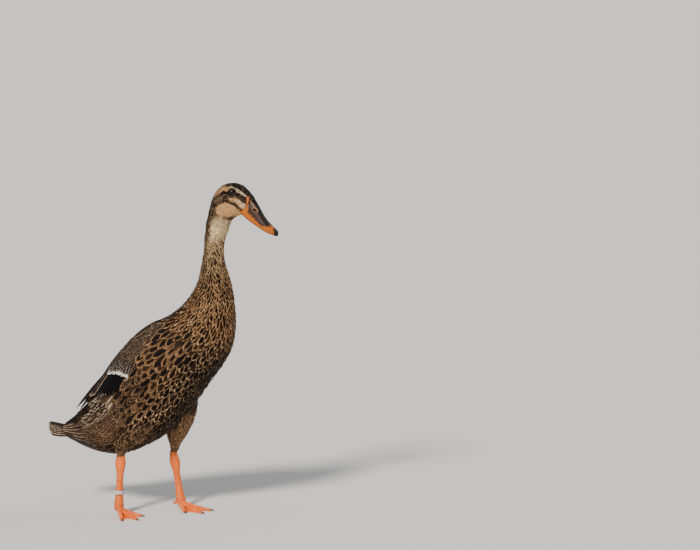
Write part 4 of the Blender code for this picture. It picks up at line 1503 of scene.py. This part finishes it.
SCAPULAR_ROWS = ((7.6, (4, 10, 16, 22, 28)), (8.05, (7, 13, 19, 25)), (8.5, (4, 10, 16, 22, 28)),
                 (8.95, (7, 13, 19, 25)), (9.4, (4, 10, 16, 22, 28)))
TERTIALS = ((10.0, 24, 13.1, 28), (9.9, 18, 13.15, 21), (9.7, 12, 12.9, 14), (9.5, 6, 12.5, 8))
PRIMARY_COUNT, SECONDARY_COUNT, BAR_COUNT = 5, 10, 13
# Rows of small coverts: from one to the next, how long they are and how far apart round the body.
COVERT_STEP, COVERT_LENGTH, COVERT_TURN = 0.19, 0.56, 3.9


def wing_patch(roots):
    """Middle of a long feather's patch on an unwrap of the wing's own surface."""
    return beside(0.03 + 0.94 * roots[:, 1] / 72, 0.03 + 0.94 * (roots[:, 0] - 7.4) / 5)


def wing_rows():
    """Each row of long wing feathers: roots, tips, half width, rise above the form and colours."""
    share = np.linspace(0, 1, SECONDARY_COUNT)
    deg = 30 + 31 * share
    yield dict(roots=beside(10.15, 28 + 24 * share), tips=beside(ramp(deg, DARK_TIPS), deg),
               width=7.5 - 1.5 * share, swell=0.8 - 0.6 * share,
               colours=(SPECULUM, SPECULUM * 0.6, SPECULUM_TIP), sizes=(0.94, 0.55, -1.0), shape=oblong)
    share = np.linspace(0, 1, BAR_COUNT)
    deg = 29 + 38 * share
    end = ramp(deg, BAR_EDGE)
    yield dict(roots=beside(end - 0.8, 29 + 33 * share), tips=beside(end, deg), width=5.6 - 1.0 * share,
               swell=1.2 - 0.5 * share, colours=(BAR_BASE, BAR_BASE, BAR_WHITE), sizes=(0.15, 0.0, -1.0),
               shape=oblong)
    for level, place in enumerate(np.arange(COVERT_FROM - 0.3, 11.0, COVERT_STEP)):
        low, high = ramp(place + 0.25, WING_LOW), ramp(place + 0.25, WING_HIGH)
        deg = np.arange(high + COVERT_TURN / 2 * (level % 2), low + 1.5, COVERT_TURN)
        end = ramp(deg, BAR_EDGE) - 0.16
        deg, end = deg[end > place + 0.25], end[end > place + 0.25]
        if len(deg):
            near = smooth(end.mean() - place, 1.1, 0.5)
            edge = blend(COVERT_EDGE, BAR_WHITE, near * 0.8)
            yield dict(roots=beside(place, deg), tips=beside(np.minimum(place + COVERT_LENGTH, end), deg),
                       width=2.4, swell=0.35 + 1.0 * near, sizes=(0.88, 0.42, 0.0), shape=rounded,
                       colours=(COVERT * (1 - 0.25 * near), COVERT_MARK, edge))
    rows = np.array(TERTIALS)
    k = np.arange(len(rows))
    yield dict(roots=rows[:, :2], tips=rows[:, 2:], width=9.0 - 0.3 * k, swell=1.5 + 0.4 * k,
               colours=(TERTIAL, TERTIAL * 0.7, TERTIAL_EDGE), sizes=(0.86, 0.55, 0.0), shape=oblong)
    for level, (place, degs) in enumerate(SCAPULAR_ROWS):
        degs = np.array(degs, float)
        yield dict(roots=beside(place, degs), tips=beside(place + 1.25, degs * 0.95 + 0.5), width=4.4,
                   swell=1.3 - 0.15 * level, colours=(MANTLE, SPOT, MANTLE_EDGE), sizes=(0.82, 0.45, 0.0),
                   shape=rounded)


class RUNNER_OT_wings(bpy.types.Operator):
    """Fold the long feathers of each wing over the body"""

    bl_idname = "runner.wings"
    bl_label = "Wing feathers"

    def execute(self, context):
        form = made["form"]
        rng = np.random.default_rng(setting("skin").seed + 2)
        look = feather_material("wing_feather", 0.5, 0.6, tone("15100d"), 0.7, 0.7)
        rows = ROWS["quill"]
        for side, sign in SIDES.items():
            bunch = Bunch(setting("plumage").wing_patch)
            for row in wing_rows():
                roots, tips = row["roots"], row["tips"]
                count = len(roots)
                wander = rng.normal(0, 1, (count, 2)) * (0.02, 0.5)
                lines, normals = laid(form, sign, roots, tips + wander, rows)
                colours = same_colours(count, rng, *row["colours"], *row["sizes"])
                bunch.add(lines, normals, row["width"] * MM, 0.8 * MM, "quill", colours, wing_patch(roots),
                          rng, hug=form, shape=row["shape"], rough=0.03, camber=0.05, thick=0.3,
                          swell=row["swell"] * MM)
            k = np.arange(PRIMARY_COUNT)
            roots = beside(11.2, 22 + 2.5 * k)
            tips = beside(-118 + 7.0 * k, sign * (8.5 + 1.8 * k), 149.5 - 2.2 * k)
            faces = np.tile((-0.2, sign * 0.8, 0.55), (PRIMARY_COUNT, 1))
            lines, normals = freed(form, sign, roots, tips, faces, rows)
            colours = same_colours(PRIMARY_COUNT, rng, QUILL_DARK, QUILL_DARK * 0.6, QUILL_EDGE, 0.8, 0.5)
            bunch.add(lines, normals, 5.0 * MM, 0.6 * MM, "quill", colours, wing_patch(roots), rng,
                      shape=pointed, rough=0.02, camber=0.1, thick=0.35, swell=(1.6 - 0.35 * k) * MM)
            bunch.build("wing_feathers_" + side, look, "wing_plumage")
        return {"FINISHED"}


# The tail.

TAIL_COUNT = 16
TAIL_ROOT = (-112, 118.5)
# The coverts round the root of the tail: where each row starts and ends, and its angles and colours.
TAIL_COVERT_ROWS = ((14.3, 15.6), (14.75, 16.0))
TAIL_COVERTS = (
    ((4, 22, 40), (RUMP_DARK, RUMP_DARK * 0.5, RUMP_EDGE), (0.8, 0.6)),
    ((55, 66, 77, 88, 99), (STREAKED, STREAK_PALE, STREAKED * 1.7), (0.94, 0.05)),
    ((112, 126, 140, 154, 168), (VENT * 0.6, VENT_MARK, STREAK_PALE * 0.45), (0.8, 0.5)),
)
# Free coverts round the root of the fan: where each row starts, how far back its tips lie, and half the
# width and height of the ring that they make.
FAN_ROWS = ((14.1, -132, 17, 10.5), (14.6, -137, 17, 9.5))
# Half width and length of the fan, height of its tips, and how far they drop and come forward at its sides.
FAN_HALF_WIDTH, FAN_LENGTH, FAN_HEIGHT, FAN_DROP, FAN_ROUND = 22, 52.5, 128, 13, 9
# The first row of each kind of coverts is turned by so much, so that the next covers its gaps.
ROW_SHIFT = 9


class RUNNER_OT_tail(bpy.types.Operator):
    """Fan out the tail feathers"""

    bl_idname = "runner.tail"
    bl_label = "Tail feathers"

    def execute(self, context):
        form = made["form"]
        rng = np.random.default_rng(setting("skin").seed + 3)
        share = np.linspace(-1, 1, TAIL_COUNT)
        share = share[np.argsort(-np.abs(share))]
        middle = 1 - np.abs(share)
        root = beside(TAIL_ROOT[0], 8.5 * share, TAIL_ROOT[1] - 4.0 + 8.5 * middle)
        tip = beside(TAIL_ROOT[0] - FAN_LENGTH + FAN_ROUND * share ** 2, FAN_HALF_WIDTH * share,
                     FAN_HEIGHT - FAN_DROP * share ** 2)
        t = np.array(ROWS["quill"])[None, :, None]
        way = root[:, None] * (1 - t) + tip[:, None] * t
        way[..., 2] += -1.0 * np.sin(np.pi * t[..., 0])
        lines = placed(way)
        up = unit(beside(0.12, 0.8 * share, 1))
        normals = np.repeat(up[:, None], t.shape[1], 1)
        colours = same_colours(TAIL_COUNT, rng, TAIL_DARK, TAIL_DARK * 0.55, TAIL_PALE, 0.86, 0.72)
        colours["Edge"][:, :3] *= (1 - 0.85 * smooth(middle, 0.7, 0.9))[:, None]
        bunch = Bunch(setting("plumage").wing_patch)
        bunch.add(lines, normals, 6.6 * MM, 0.5 * MM, "quill", colours,
                  beside(0.5 + 0.4 * share, 0.4 + 0.2 * middle), rng, shape=oblong, rough=0.03, camber=0.08,
                  thick=0.35)
        for sign in (-1, 1):
            for start, end in TAIL_COVERT_ROWS:
                for degs, colours, sizes in TAIL_COVERTS:
                    degs = np.array(degs, float) + (ROW_SHIFT if start == TAIL_COVERT_ROWS[0][0] else 0)
                    roots = beside(start, degs)
                    centres = laid(form, sign, roots, beside(end, degs), ROWS["quill"])
                    self.coverts(bunch, *centres, roots, colours, sizes, rng, form)
            for start, back, half_width, half_height in FAN_ROWS:
                for degs, colours, sizes in TAIL_COVERTS:
                    degs = np.array(degs, float) + (ROW_SHIFT if start == FAN_ROWS[0][0] else 0)
                    across, high = sign * np.sin(np.radians(degs)), np.cos(np.radians(degs))
                    tips = beside(back, half_width * across, TAIL_ROOT[1] + half_height * high)
                    roots = beside(start, degs)
                    centres = freed(form, sign, roots, tips, beside(-0.1, across, high), ROWS["quill"])
                    self.coverts(bunch, *centres, roots, colours, sizes, rng, None)
        look = feather_material("tail_feather", 0.55, 0.8, tone("2a1f18"), 0.6, 0.8)
        tail = bunch.build("tail_feathers", look, "plumage")
        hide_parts("tail")
        return {"FINISHED"}

    def coverts(self, bunch, lines, normals, roots, colours, sizes, rng, hug):
        look = same_colours(len(roots), rng, *colours, *sizes)
        bunch.add(lines, normals, 3.7 * MM, 0.9 * MM, "quill", look,
                  bake_patch(NECK_TOP + roots[:, 0], roots[:, 1]), rng, hug=hug, rough=0.04, thick=0.25,
                  swell=0.3 * MM)


# The bill.

# Forward, half width, ridge, edge and how boxy the arch is.
UPPER_BILL = (
    (-5, 10.6, 25.6, 0.6, 1),
    (4, 10.6, 25, 0.6, 1),
    (14, 10.2, 21.8, 1.6, 0.95),
    (25, 9.8, 17.8, 2.8, 0.85),
    (35, 10.3, 15.4, 3.7, 0.75),
    (43, 10.9, 14.2, 4.6, 0.7),
    (50, 10.2, 13.2, 5.6, 0.7),
    (54.5, 7.4, 12, 6.2, 0.75),
    (57, 3.4, 10.2, 6.8, 0.8),
)
# Forward, half width, edge and keel.
LOWER_BILL = (
    (-5, 9.4, -0.3, -3.8),
    (10, 9.2, 0.3, -3.2),
    (25, 8.8, 2, -1.4),
    (38, 9.1, 3.1, 0.4),
    (47, 8.6, 4.3, 2),
    (52.5, 5.6, 5.1, 3.6),
)
# Forward, rise, half length and half height. The nail's hook drops towards its end.
NOSTRIL = (10.4, 17.6, 3.3, 1.7)
NAIL_DROP, DROP_FROM, DROP_TO = 1.2, 53.5, 58.5
NAIL_START, NAIL_END, NAIL_HALF_WIDTH = 47.4, 57.5, 6.9
# Rise of the line in the bill from which its skin is pushed under the plumage, and columns of the palate.
BILL_CORE, PALATE_COLUMNS = 8.0, 13


def bill_points(forward, side, rise):
    """Points in the bill's own directions, as metres in the frame."""
    cos, sin = math.cos(BILL_PITCH), math.sin(BILL_PITCH)
    x = GAPE[0] + forward * cos - rise * sin
    z = GAPE[1] + forward * sin + rise * cos
    return placed(turned(np.stack([x, side, z], -1)))


def ridge_height(forward, side):
    """Rise of the upper bill at a place on its ridge."""
    rows = between(UPPER_BILL, np.linspace(0, 3, 60))
    width, ridge, edge = (np.interp(forward, rows[:, 0], rows[:, k]) for k in (1, 2, 3))
    return edge + (ridge - edge) * np.sqrt(np.maximum(1 - (side / width) ** 2, 0))


def bill_rows(table, back):
    """Sections close together along a half of the bill, run on behind it and rounded off in front."""
    rows = between(table, np.linspace(0, len(table) - 1, 16 * (len(table) - 1) + 1))
    behind = np.repeat(rows[:1], len(back), 0)
    behind[:, 0] = back
    ends = []
    for turn in np.radians((20, 40, 58, 73, 84)):
        end = rows[-1].copy()
        middle = (rows[-1][2] + rows[-1][3]) / 2
        end[0] += 1.3 * math.sin(turn)
        end[1] *= math.cos(turn)
        end[2:4] = middle + (rows[-1][2:4] - middle) * math.cos(turn)
        ends.append(end)
    return np.concatenate([behind, rows, ends])


def bill_tint(forward, side, rise, share, bare):
    """Colour and gloss over the upper bill. The share is 0 at the cutting edge and 1 on the ridge."""
    orange, saddle = np.array(bare.bill_orange), np.array(bare.bill_saddle)
    wander = (np.sin(forward * 0.9 + 1) * np.cos(rise * 0.8 + side * 0.3)
              + 0.6 * np.sin(forward * 2.3 + rise * 1.9 + side))
    margin = bill_margin(forward, side, rise)
    colour = blend(orange, orange * (1.15, 1.25, 1.3), smooth(wander, 0.4, 1.4) * 0.6)
    front = 33.5 + 9.5 * smooth(share, 0.1, 0.95)
    behind = back_margin(forward, rise)
    start = ramp(rise, ((4, 4.4), (10, 2.0), (16, 0.0), (20, -0.6)))
    slate = smooth(behind, start, start + 3.2 + 0.5 * wander)
    slate = slate * smooth(forward, front + 3.0, front - 3.0 + wander)
    slate = slate * smooth(share, 0.16 + 0.03 * wander, 0.42 + 0.03 * wander)
    colour = blend(colour, saddle, slate)
    ridge = smooth(share, 0.80, 0.93) * smooth(forward, 43, 38) * smooth(margin, -0.5, 0.5)
    colour = blend(colour, tone("16110f"), ridge * 0.95)
    along = np.clip((forward + 4) / 18, 0, 1)
    off_streak = np.hypot(forward - (-4 + 18 * along), rise - (22 - 2.5 * along))
    peach = tone("a87a52")
    colour = blend(colour, peach, smooth(off_streak, 1.3, 0.2) * 0.6)
    ring = nostril_ring(forward, rise)
    colour = blend(colour, peach, smooth(np.abs(ring - 1.35), 0.35, 0.05) * 0.55)
    # Painted shade: the sunk middle of the nostril is painted near black.
    colour = blend(colour, tone("120c0a"), smooth(ring, 1.0, 0.7))
    nail = nail_share(forward, side)
    colour = blend(colour, tone("070505"), nail)
    return with_alpha(colour, np.maximum(nail * 0.5, ridge * 0.3))


def nostril_ring(forward, rise):
    """Distance from the middle of the nostril, 1 at its rim."""
    middle, height, half_length, half_height = NOSTRIL
    return np.hypot((forward - middle) / half_length, (rise - height) / half_height)


def nail_share(forward, side):
    """1 on the hard nail at the bill's end."""
    reach = np.hypot((forward - NAIL_END) / (NAIL_END - NAIL_START), side / NAIL_HALF_WIDTH)
    return smooth(reach, 1.03, 0.9)


def upper_bill(form, bare):
    back = np.arange(-15, -5.01, 0.5)
    rows = bill_rows(UPPER_BILL, back)
    forward, width, ridge, edge, boxy = (rows[:, k, None] for k in range(5))
    turn = np.linspace(0, math.pi, 121)
    level = np.sin(turn)[None] ** boxy
    side = width * np.cos(turn)[None] * (1 + 0.02 * np.exp(-(level / 0.08) ** 2))
    rise = edge + (ridge - edge) * level
    forward = np.repeat(forward, len(turn), 1)
    # Behind the feathers' edge the bill dips under the plumage.
    where = bill_points(forward, side, rise)
    core = bill_points(forward, 0 * side, np.full_like(side, BILL_CORE))
    away = unit(where - core)
    reach = far(where - core)
    depth = ramp(forward, ((-15, 2.0), (-9, 1.0), (-4, 0.5), (0, 0.3))) * MM
    share = smooth(forward, -1.5, -5.5)
    for i, j in zip(*np.nonzero(share > 0)):
        hit = form.tree.ray_cast(Vector(core[i, j]), Vector(away[i, j]))
        if hit[0] is not None:
            goal = hit[3] - depth[i, j]
            reach[i, j] += (goal - reach[i, j]) * share[i, j]
    where = core + away * reach[..., None]
    # The nostril is sunk and its rim raised; the nail is raised and hooks over the tip.
    ring = nostril_ring(forward, rise)
    inward = 2.4 * smooth(ring, 1.05, 0.5) - 0.35 * np.exp(-((ring - 1.25) / 0.3) ** 2)
    nail = nail_share(forward, side)
    swell = 0.42 * nail + 0.06 * np.sin(forward * 1.1) * np.sin(turn * 9)[None] * smooth(forward, 0, 6)
    where = where - away * ((inward - swell) * MM)[..., None]
    drop = NAIL_DROP * smooth(forward, DROP_FROM, DROP_TO) * nail
    down = bill_points(0.0, 0.0, np.array(-1.0)) - bill_points(0.0, 0.0, np.array(0.0))
    where = where + down * drop[..., None]
    tint = bill_tint(forward, side, rise, level, bare)
    palate = np.linspace(-0.92, 0.92, PALATE_COLUMNS)[None]
    hollow = edge - 0.1 + 0.5 * (1 - palate ** 2)
    along = np.repeat(rows[:, 0, None], PALATE_COLUMNS, 1)
    floor_points = bill_points(along, width * palate, hollow)
    nail = nail_share(along, width * palate)
    floor_points = floor_points + down * (NAIL_DROP * smooth(along, DROP_FROM, DROP_TO) * nail)[..., None]
    floor_tint = with_alpha(blend(tone("8a4a22"), tone("070505"), nail), 0.2)
    rings = np.concatenate([where, floor_points], 1)
    return closed_tube("upper_bill", rings, {"Tint": np.concatenate([tint, floor_tint], 1)})


def lower_bill(bare):
    back = np.arange(-10, -5.01, 0.5)
    rows = bill_rows(LOWER_BILL, back)
    inward = smooth(rows[:, 0], -3, -10) * 2.0
    forward, width, edge, keel = (rows[:, k, None] for k in range(4))
    width = width - inward[:, None]
    turn = np.linspace(0, math.pi, 61)
    level = np.sin(turn)[None] ** 0.7
    side = -width * np.cos(turn)[None]
    rise = edge + (keel + inward[:, None] - edge) * level
    trough = np.linspace(0.9, -0.9, PALATE_COLUMNS)[None]
    side = np.concatenate([width * trough, side], 1)
    rise = np.concatenate([edge - 0.5 * (1 - trough ** 2), rise], 1)
    forward = np.repeat(forward, side.shape[1], 1)
    wander = np.sin(forward * 0.8) * np.cos(side * 0.9)
    mottle = smooth(wander, -0.2, 0.8) * 0.5
    colour = blend(np.array(bare.bill_orange) * 0.8, np.array(bare.bill_saddle), mottle)
    colour = blend(colour, tone("14100f"), smooth(forward, 48, 50))
    return closed_tube("lower_bill", bill_points(forward, side, rise), {"Tint": with_alpha(colour, 0.1)})


class RUNNER_OT_bill(bpy.types.Operator):
    """Make the two halves of the bill, with nostrils and the nail"""

    bl_idname = "runner.bill"
    bl_label = "Bill"

    def execute(self, context):
        look = bill_material()
        bare = setting("bare")
        for piece, node in ((upper_bill(made["form"], bare), "bill_upper"), (lower_bill(bare), "bill_lower")):
            piece.data.materials.append(look)
            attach(piece, "root")
            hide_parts(node)
        return {"FINISHED"}


# The eyes.

# Angles from the eye's axis to the rim of the pupil and of the iris.
PUPIL, IRIS_RIM = 0.36, 0.86


def head_way(direction):
    """A direction of the straight head, turned with it."""
    x, y, z = direction
    cos, sin = math.cos(HEAD_TURN), math.sin(HEAD_TURN)
    return unit(np.array([x * cos - y * sin, x * sin + y * cos, z]))


def eye_ways(side):
    """Outwards from an eye, forward along the head and up."""
    out = head_way((0.2, side, 0.1))
    ahead = head_way((0.84, 0, -0.3))
    ahead = unit(ahead - out * (ahead @ out))
    up = np.cross(out, ahead) * (1 if np.cross(out, ahead)[2] > 0 else -1)
    return out, ahead, up


def eyeball(name, side, iris):
    """An eyeball with a bulging cornea, as rings about its outward axis."""
    out, ahead, up = eye_ways(side)
    turn = np.linspace(0.03, math.pi - 0.03, 40)[:, None]
    around = all_round(48)[None]
    radius = EYE_RADIUS * (1 + 0.05 * np.exp(-(turn / 0.45) ** 2))
    flat = radius * np.sin(turn)
    rings = (out * (radius * np.cos(turn) * np.ones_like(around))[..., None]
             + ahead * (flat * np.cos(around))[..., None] + up * (flat * np.sin(around))[..., None])
    turns = np.repeat(turn, around.size, 1)
    iris = np.array(iris)
    colour = blend(iris * 0.55, iris * 1.5, smooth(turns, PUPIL, IRIS_RIM))
    colour = blend(colour, tone("0c0806"), smooth(turns, IRIS_RIM - 0.08, IRIS_RIM + 0.05))
    colour = blend(colour, tone("040303"), smooth(turns, PUPIL + 0.03, PUPIL - 0.03))
    return closed_tube(name, eye_centre(side) + rings * MM, {"Tint": with_alpha(colour)})


# The opening between the lids: half length and half height, and how much the front corner is drawn out.
EYE_OPENING = (3.9, 3.4)
EYE_CORNER = 0.6


def eyelid(name, side, form):
    """A ring of folded skin round an eye, from the eyeball to under the feathers."""
    out, ahead, up = eye_ways(side)
    middle = eye_centre(side)
    around = all_round(96)
    opening = 1 / np.sqrt((np.cos(around) / EYE_OPENING[0]) ** 2 + (np.sin(around) / EYE_OPENING[1]) ** 2)
    opening = opening + EYE_CORNER * np.exp(-(np.minimum(around, 2 * math.pi - around) / 0.35) ** 2)
    spoke = ahead * np.cos(around)[:, None] + up * np.sin(around)[:, None]

    def skin_height(reach):
        far = middle + (spoke * reach[:, None] + out * 4.0) * MM
        found, _, _ = form.nearest(far)
        return ((found - middle) / MM) @ out

    rim = np.sqrt(np.maximum(EYE_RADIUS ** 2 - opening ** 2, 1))
    folds = 0.12 * np.sin(around * 19 + 1.3 * np.sin(around * 3))
    steps = (
        (opening - 0.35, rim - 0.6, 0.0),
        (opening - 0.12, rim + 0.12, 0.0),
        (opening + 0.05, rim + 0.34, 0.1),
        (opening + 0.25, rim + 0.32, 0.3),
        (opening + 0.5, (rim + skin_height(opening + 0.5)) / 2 + 0.15, 0.7),
        (opening + 0.8, skin_height(opening + 0.8) + 0.1, 1.0),
        (opening + 1.3, skin_height(opening + 1.3) - 0.3, 0.9),
        (opening + 2.0, skin_height(opening + 2.0) - 0.9, 0.5),
        (opening + 1.8, skin_height(opening + 1.8) - 1.8, 0.0),
        (opening + 0.6, rim - 1.6, 0.0),
    )
    rings = []
    tints = []
    for reach, height, wrinkle in steps:
        ring = spoke * reach[:, None] + out * (height + folds * wrinkle)[:, None]
        rings.append(middle + ring * MM)
        # Painted shade and light: the lids are darker in the creases between folds and paler on the folds'
        # crests.
        share = (folds / 0.12 * 0.5 + 0.5) * wrinkle * 0.5
        tints.append(blend(tone("0e0906"), tone("30221a"), share))
    return closed_ring(name, np.stack(rings), {"Tint": with_alpha(np.stack(tints))})


class RUNNER_OT_eyes(bpy.types.Operator):
    """Set in the eyes and fold the lids round them"""

    bl_idname = "runner.eyes"
    bl_label = "Eyes and lids"

    def execute(self, context):
        wet = eye_material()
        folded = horn_material("eyelid_skin", 1300.0, 0.8, 0.4, 0.55, Specular_IOR_Level=0.15)
        for side, sign in SIDES.items():
            ball = eyeball("eyeball_" + side, sign, setting("bare").iris)
            ball.data.materials.append(wet)
            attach(ball, "root")
            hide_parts("eye_" + side)
            lid = eyelid("eyelids_" + side, sign, made["form"])
            lid.data.materials.append(folded)
            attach(lid, "root")
        return {"FINISHED"}


# Claws and the band.

CLAW_START, CLAW_LENGTH, CLAW_RADIUS = 0.2, 6.65, 1.75
# How far down the shank the band sits, its height, its outer and inner radius and how round its corners are.
BAND_SHARE, BAND_HEIGHT, BAND_OUTER, BAND_INNER, BAND_CORNER = 0.74, 6.0, 8.2, 6.9, 0.35


def claw(name, side, toe):
    """A blunt claw that curves down a little from the end of its toe."""
    way = toe_way(side, toe)
    length = TOES[toe][1]
    t = np.linspace(0, 1, 16)
    along = length + CLAW_START + CLAW_LENGTH * t
    height = 2.25 + 0.5 * np.sin(math.pi * t * 0.8) - 1.0 * t ** 2
    radius = CLAW_RADIUS * (1 - t ** 1.8 * 0.82)
    turn = all_round(20)
    across = radius[:, None] * np.cos(turn) * 0.85
    up = radius[:, None] * np.where(np.sin(turn) < 0, np.sin(turn) * 0.75, np.sin(turn))
    x = ANKLES[side][0] + along[:, None] * way[0] - across * way[1]
    y = ANKLES[side][1] + along[:, None] * way[1] + across * way[0]
    rings = placed(np.stack([x, y, height[:, None] + up], -1))
    colour = blend(tone("8c6a4a"), tone("2a201a"), smooth(t, 0.1, 0.75)[:, None] * np.ones(len(turn)))
    return closed_tube(name, rings, {"Tint": with_alpha(colour)})


def leg_band():
    """A plain closed ring round the right leg, its edges rounded."""
    hock, ankle = np.array(HOCKS["right"], float), np.array(ANKLES["right"], float)
    axis = unit(ankle - hock)
    middle = hock + (ankle - hock) * BAND_SHARE
    first = unit(np.cross(axis, (0, 1, 0)))
    second = np.cross(axis, first)
    corner = all_round(24)
    radius = (BAND_OUTER + BAND_INNER) / 2 + (BAND_OUTER - BAND_INNER) / 2 * np.sign(np.cos(corner)) \
        * np.abs(np.cos(corner)) ** BAND_CORNER
    level = BAND_HEIGHT / 2 * np.sign(np.sin(corner)) * np.abs(np.sin(corner)) ** BAND_CORNER
    turn = all_round(96)
    spoke = first * np.cos(turn)[:, None] + second * np.sin(turn)[:, None]
    rings = middle + spoke[:, None] * radius[None, :, None] + axis * level[None, :, None]
    return closed_ring("plain_leg_band", placed(rings))


class RUNNER_OT_trim(bpy.types.Operator):
    """Make the claws and the plain leg band"""

    bl_idname = "runner.trim"
    bl_label = "Claws and band"

    def execute(self, context):
        look = horn_material("claw_horn", 700.0, 0.7, 0.3, 0.3)
        for side in SIDES:
            for toe in TOES:
                piece = claw("horn_claw_%s_%s" % (side, toe), side, toe)
                piece.data.materials.append(look)
                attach(piece, "root")
                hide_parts("claw_%s_%s" % (side, toe))
        band = leg_band()
        band.data.materials.append(band_material(setting("bare").band))
        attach(band, "root")
        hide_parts("leg_band")
        return {"FINISHED"}


# The studio.

FLOOR_REACH = 60
CAMERA_PLACE = (2.237304, -5.314404, 1.18505)
CAMERA_AROUND, CAMERA_DOWN = 20.0, 8.108
# Name, direction to the light, how wide it looks in degrees, colour.
LAMPS = (
    ("key", (-0.1, -0.8, 0.62), 11, (1.0, 0.96, 0.9)),
    ("rim", (0.6, 0.7, 0.5), 30, (1.0, 0.97, 0.93)),
)


class RUNNER_OT_studio(bpy.types.Operator):
    """Set up the floor, the soft lights and the camera"""

    bl_idname = "runner.studio"
    bl_label = "Studio"

    def execute(self, context):
        opts = setting("studio")
        corners = np.array(((-1, -1, 0), (1, -1, 0), (1, 1, 0), (-1, 1, 0))) * FLOOR_REACH
        floor = mesh_from("floor", corners, ((0, 1, 2, 3),))
        make = Recipe("floor_paper")
        fibre = make.noise(make.place(), 300.0, 2.0)
        colour = make.mix(make.ease(fibre, 0.3, 0.7), np.array(opts.floor) * 0.97, tuple(opts.floor))
        floor.data.materials.append(make.finish(colour, 0.8))
        world = bpy.data.worlds.new("studio")
        context.scene.world = world
        world.use_nodes = True
        world.node_tree.nodes["Background"].inputs[0].default_value = (0.9, 0.93, 1.0, 1)
        world.node_tree.nodes["Background"].inputs[1].default_value = opts.sky
        for name, towards, width, colour in LAMPS:
            lamp = bpy.data.lights.new(name, "SUN")
            lamp.energy = getattr(opts, name)
            lamp.angle = math.radians(width)
            lamp.color = colour
            sun = new_object(name, lamp)
            sun.rotation_euler = Vector(towards).to_track_quat("Z", "Y").to_euler()
        camera = new_object("camera", bpy.data.cameras.new("camera"))
        context.scene.camera = camera
        camera.data.lens, camera.data.sensor_width, camera.data.clip_end = 200, 36, 200
        camera.location = CAMERA_PLACE
        around, down = math.radians(CAMERA_AROUND), math.radians(CAMERA_DOWN)
        level = math.cos(down)
        back = Vector((math.sin(around) * level, -math.cos(around) * level, math.sin(down)))
        camera.rotation_euler = back.to_track_quat("Z", "Y").to_euler()
        return {"FINISHED"}


STEPS = (RUNNER_OT_skin, RUNNER_OT_plumage, RUNNER_OT_wings, RUNNER_OT_tail, RUNNER_OT_bill, RUNNER_OT_eyes,
         RUNNER_OT_trim, RUNNER_OT_studio)


class RUNNER_PT_sidebar(bpy.types.Panel):
    """Lists the steps that make the duck"""

    bl_label = "Runner Duck"
    bl_space_type = "VIEW_3D"
    bl_region_type = "UI"
    bl_category = "Runner Duck"

    def draw(self, context):
        for step in STEPS:
            self.layout.operator(step.bl_idname)
        for name, group in SETTINGS.items():
            for value in group.__annotations__:
                self.layout.prop(setting(name), value)


CLASSES = (*SETTINGS.values(), *STEPS, RUNNER_PT_sidebar)


def register():
    for item in CLASSES:
        bpy.utils.register_class(item)
    for name, group in SETTINGS.items():
        setattr(bpy.types.Scene, "runner_" + name, PointerProperty(type=group))


def unregister():
    for name in SETTINGS:
        delattr(bpy.types.Scene, "runner_" + name)
    for item in reversed(CLASSES):
        bpy.utils.unregister_class(item)


def main():
    register()
    for step in STEPS:
        group, name = step.bl_idname.split(".")
        getattr(getattr(bpy.ops, group), name)()


if __name__ == "__main__":
    main()
